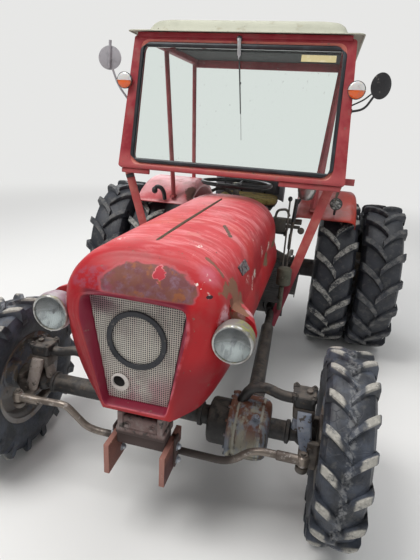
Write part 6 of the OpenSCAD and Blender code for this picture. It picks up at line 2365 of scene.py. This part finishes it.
def make_lift_arms():
    """The two lift arms over them."""
    y, z = LINK_PIN
    x = LIFT_X + 44
    arm = [drum((x - 24, y, z + LIFT_HEIGHT), X, 34, 24, 3, 48),
           bar((x - 24, y, z + LIFT_HEIGHT), (x - 24, y + LIFT_REACH, z + LIFT_HEIGHT), 48, 18, 90, 5),
           drum((x - 24, y + LIFT_REACH, z + LIFT_HEIGHT), X, 24, 20, 3, 40),
           drum((x - 4, y + LIFT_REACH, z + LIFT_HEIGHT), X, 10, 44, 1, 32),
           bolts([(x + 18, y + LIFT_REACH, z + LIFT_HEIGHT)], X, 13, 6)]
    piece(both(joined(*arm)), "lift_arms_forged", "lift_arms", finish(greasy_iron, BROWN),
          ["lift_arms"])


def make_lift_rods():
    """The rods with turnbuckles between arms and links."""
    x = LIFT_X + 44
    y, z = LINK_PIN
    rod = [drum((x, y + LIFT_REACH, z), X, 22, 18, 3, 36),
           drum((x, y + LIFT_REACH, z + LIFT_HEIGHT), X, 22, 18, 3, 36),
           tube([(x, y + LIFT_REACH, z + 14), (x, y + LIFT_REACH, z + 346)], 8, 0, 4),
           tube([(x, y + LIFT_REACH, z + 120), (x, y + LIFT_REACH, z + 260)], 15, 0, 4)]
    rod += [drum((x, y + LIFT_REACH, z + 120 + 10 * i), Z, 15.4, 3, 1, 28) for i in range(2, 13, 2)]
    piece(both(joined(*rod)), "lift_rods_turnbuckle", "lift_rods", finish(greasy_iron, BROWN),
          ["lift_rods"])


def make_hitch_castings():
    """Shafts, their brackets, the top link's ears and the drawbar."""
    y, z = LINK_PIN
    bars = [drum((0, y, z), X, 15.8, 464, 2, 40), block((-150, 170, z - 36), (150, y + 24, z + 20), 8),
            drum((0, y, z + LIFT_HEIGHT), X, 21.8, 2 * (LIFT_X + 36), 2, 48),
            block((-150, 170, z + 310), (150, y + 30, z + 400), 10, 3),
            drum((0, y + 2, z + LIFT_HEIGHT), X, 44, 220, 6, 56)]
    ears = [block((-28, y + 25, z + 230), (-14, y + 90, z + 320), 5),
            block((14, y + 25, z + 230), (28, y + 90, z + 320), 5)]
    ears = joined(*ears)
    cut(ears, drum((0, y + 68, z + 275), X, 10, 120, 0, 40))
    tongue = joined(block((-40, y - 20, 318), (40, 560, 342), 5), drum((0, 560, 330), Z, 40, 24, 4, 56))
    cut(tongue, drum((0, 560, 330), Z, 15, 80, 0, 48))
    foot = block((-40, y - 20, 330), (40, y + 20, z - 30), 5)
    piece(joined(*bars, ears, tongue, foot), "hitch_castings", "tractor", finish(greasy_iron, GREY),
          ["hitch_frame"])


class OBJECT_OT_tractor_hitch(bpy.types.Operator):
    """Makes the three point hitch: lower links, lift arms, lift rods, shafts and the drawbar."""

    bl_idname = "object.tractor_hitch"
    bl_label = "Hitch"

    def execute(self, context):
        make_lower_links()
        make_lift_arms()
        make_lift_rods()
        make_hitch_castings()
        return {"FINISHED"}


class OBJECT_OT_tractor_kept_nodes(bpy.types.Operator):
    """Gives the frame's own nodes an iron finish, seen only where a piece is taken away."""

    bl_idname = "object.tractor_kept_nodes"
    bl_label = "Kept nodes"

    def execute(self, context):
        iron = finish(greasy_iron, GREY)
        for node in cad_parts.values():
            node.data.materials.clear()
            node.data.materials.append(iron)
        return {"FINISHED"}


# Stage

def make_world(tone, level):
    """A plain backdrop to the camera; its light is soft and comes mostly from above."""
    world = bpy.data.worlds.new("studio")
    bpy.context.scene.world = world
    world.use_nodes = True
    tree = world.node_tree
    tree.nodes.clear()
    seen = tree.nodes.new("ShaderNodeBackground")
    seen.inputs[0].default_value = (*tone, 1)
    seen.inputs[1].default_value = 1.0
    lit = tree.nodes.new("ShaderNodeBackground")
    lit.inputs[1].default_value = 0.34 * level
    sky = tree.nodes.new("ShaderNodeTexCoord")
    up = tree.nodes.new("ShaderNodeSeparateXYZ")
    ramp = tree.nodes.new("ShaderNodeMapRange")
    for key, value in ((1, -0.25), (2, 0.75), (3, 0.35), (4, 1.0)):
        ramp.inputs[key].default_value = value
    grey = tree.nodes.new("ShaderNodeCombineColor")
    tree.links.new(sky.outputs["Generated"], up.inputs[0])
    tree.links.new(up.outputs[2], ramp.inputs[0])
    for channel in range(3):
        tree.links.new(ramp.outputs[0], grey.inputs[channel])
    tree.links.new(grey.outputs[0], lit.inputs[0])
    rays = tree.nodes.new("ShaderNodeLightPath")
    mix = tree.nodes.new("ShaderNodeMixShader")
    out = tree.nodes.new("ShaderNodeOutputWorld")
    plain_view = tree.nodes.new("ShaderNodeMath")
    plain_view.operation = "MAXIMUM"
    tree.links.new(rays.outputs["Is Camera Ray"], plain_view.inputs[0])
    tree.links.new(rays.outputs["Is Transmission Ray"], plain_view.inputs[1])
    tree.links.new(plain_view.outputs[0], mix.inputs[0])
    tree.links.new(lit.outputs[0], mix.inputs[1])
    tree.links.new(seen.outputs[0], mix.inputs[2])
    tree.links.new(mix.outputs[0], out.inputs[0])


def make_floor(tone):
    """A wide floor that turns into the backdrop with distance."""
    fresh()
    bpy.ops.mesh.primitive_circle_add(vertices=96, radius=60, fill_type="NGON", location=(0, 0, -0.002))
    floor = settle("stage_floor")
    f = Finish("stage_floor", tone, 0.85)
    flat = f.vector("MULTIPLY", f.place, (1, 1, 0))
    far = f.step(f.vector("LENGTH", flat, out=1), 3.0, 9.0)
    glow = f.node("ShaderNodeEmission", {"Color": (*tone, 1), "Strength": 1.0})
    blend = f.node("ShaderNodeMixShader", {0: far})
    material = f.done()
    output = f.tree.nodes["Material Output"]
    f.tree.links.new(f.shader.outputs[0], blend.inputs[1])
    f.tree.links.new(glow.outputs[0], blend.inputs[2])
    f.tree.links.new(blend.outputs[0], output.inputs[0])
    floor.data.materials.append(material)


def make_lights(level):
    """Four round lamps: name, place, aim, size, power and colour."""
    lamps = (("key", (-2.4, -2.6, 6.2), (0, -0.6, 0.8), 3.2, 300, (1.0, 0.99, 0.97)),
             ("fill", (4.6, -3.6, 2.6), (0, -0.4, 0.8), 4.5, 50, (0.96, 0.98, 1.0)),
             ("top", (0.5, 0.6, 6.0), (0, 0, 0.6), 5.0, 150, (1.0, 1.0, 1.0)),
             ("back", (-2.6, 5.2, 3.8), (0, 0.4, 0.9), 3.6, 90, (0.97, 0.98, 1.0)))
    for name, place, aim, size, power, colour in lamps:
        lamp = bpy.data.lights.new("stage_" + name, "AREA")
        lamp.shape, lamp.size = "DISK", size
        lamp.energy, lamp.color = power * level, colour
        obj = linked("stage_" + name, lamp)
        obj.location = place
        obj.rotation_euler = (Vector(aim) - Vector(place)).to_track_quat("-Z", "Y").to_euler()
        obj.visible_camera = obj.visible_transmission = False


def make_camera():
    """The camera that took the photograph."""
    data = bpy.data.cameras.new("photo_camera")
    data.lens, data.sensor_width, data.sensor_fit = 28.04426, 36.0, "AUTO"
    data.clip_end = 300
    camera = linked("photo_camera", data)
    right = Vector((0.96602021, 0.25154138, 0.05942968))
    up_way = Vector((-0.14025605, 0.31702882, 0.93798772))
    ahead = Vector((-0.2171018, 0.91445047, -0.34153644))
    turn = Matrix((right, up_way, -ahead)).transposed()
    camera.matrix_world = Matrix.Translation((0.54064432, -2.76437095, 1.59455552)) @ turn.to_4x4()
    bpy.context.scene.camera = camera


class OBJECT_OT_tractor_stage(bpy.types.Operator):
    """Sets the plain floor, the soft light and the camera."""

    bl_idname = "object.tractor_stage"
    bl_label = "Stage"

    def execute(self, context):
        stage = context.scene.tractor_stage
        tone = tuple(stage.floor_colour)
        make_world(tone, stage.light_level)
        if stage.show_floor:
            make_floor(tone)
        make_lights(stage.light_level)
        make_camera()
        context.scene.view_settings.view_transform = "Standard"
        return {"FINISHED"}


STEPS = (OBJECT_OT_tractor_hood, OBJECT_OT_tractor_grille, OBJECT_OT_tractor_headlamps,
         OBJECT_OT_tractor_wheels, OBJECT_OT_tractor_windscreen, OBJECT_OT_tractor_roof,
         OBJECT_OT_tractor_fenders, OBJECT_OT_tractor_cab, OBJECT_OT_tractor_engine,
         OBJECT_OT_tractor_driveline, OBJECT_OT_tractor_front_frame, OBJECT_OT_tractor_front_axle,
         OBJECT_OT_tractor_seat, OBJECT_OT_tractor_dash, OBJECT_OT_tractor_controls,
         OBJECT_OT_tractor_hitch, OBJECT_OT_tractor_kept_nodes, OBJECT_OT_tractor_stage)


class VIEW3D_PT_tractor(bpy.types.Panel):
    """The tractor's sizes, stage and steps."""

    bl_idname = "VIEW3D_PT_tractor"
    bl_label = "Tractor"
    bl_space_type = "VIEW_3D"
    bl_region_type = "UI"
    bl_category = "Tractor"

    def draw(self, context):
        for group in (context.scene.tractor_sizes, context.scene.tractor_stage):
            column = self.layout.column()
            for key in type(group).__annotations__:
                column.prop(group, key)
        for step in STEPS:
            self.layout.operator(step.bl_idname)


CLASSES = (TractorSizes, TractorStage, *STEPS, VIEW3D_PT_tractor)


def register():
    for one in CLASSES:
        bpy.utils.register_class(one)
    bpy.types.Scene.tractor_sizes = PointerProperty(type=TractorSizes)
    bpy.types.Scene.tractor_stage = PointerProperty(type=TractorStage)


def unregister():
    del bpy.types.Scene.tractor_stage
    del bpy.types.Scene.tractor_sizes
    for one in reversed(CLASSES):
        bpy.utils.unregister_class(one)


def main():
    """Builds the whole tractor."""
    register()
    for step in STEPS:
        group, name = step.bl_idname.split(".")
        getattr(getattr(bpy.ops, group), name)()


if __name__ == "__main__":
    main()
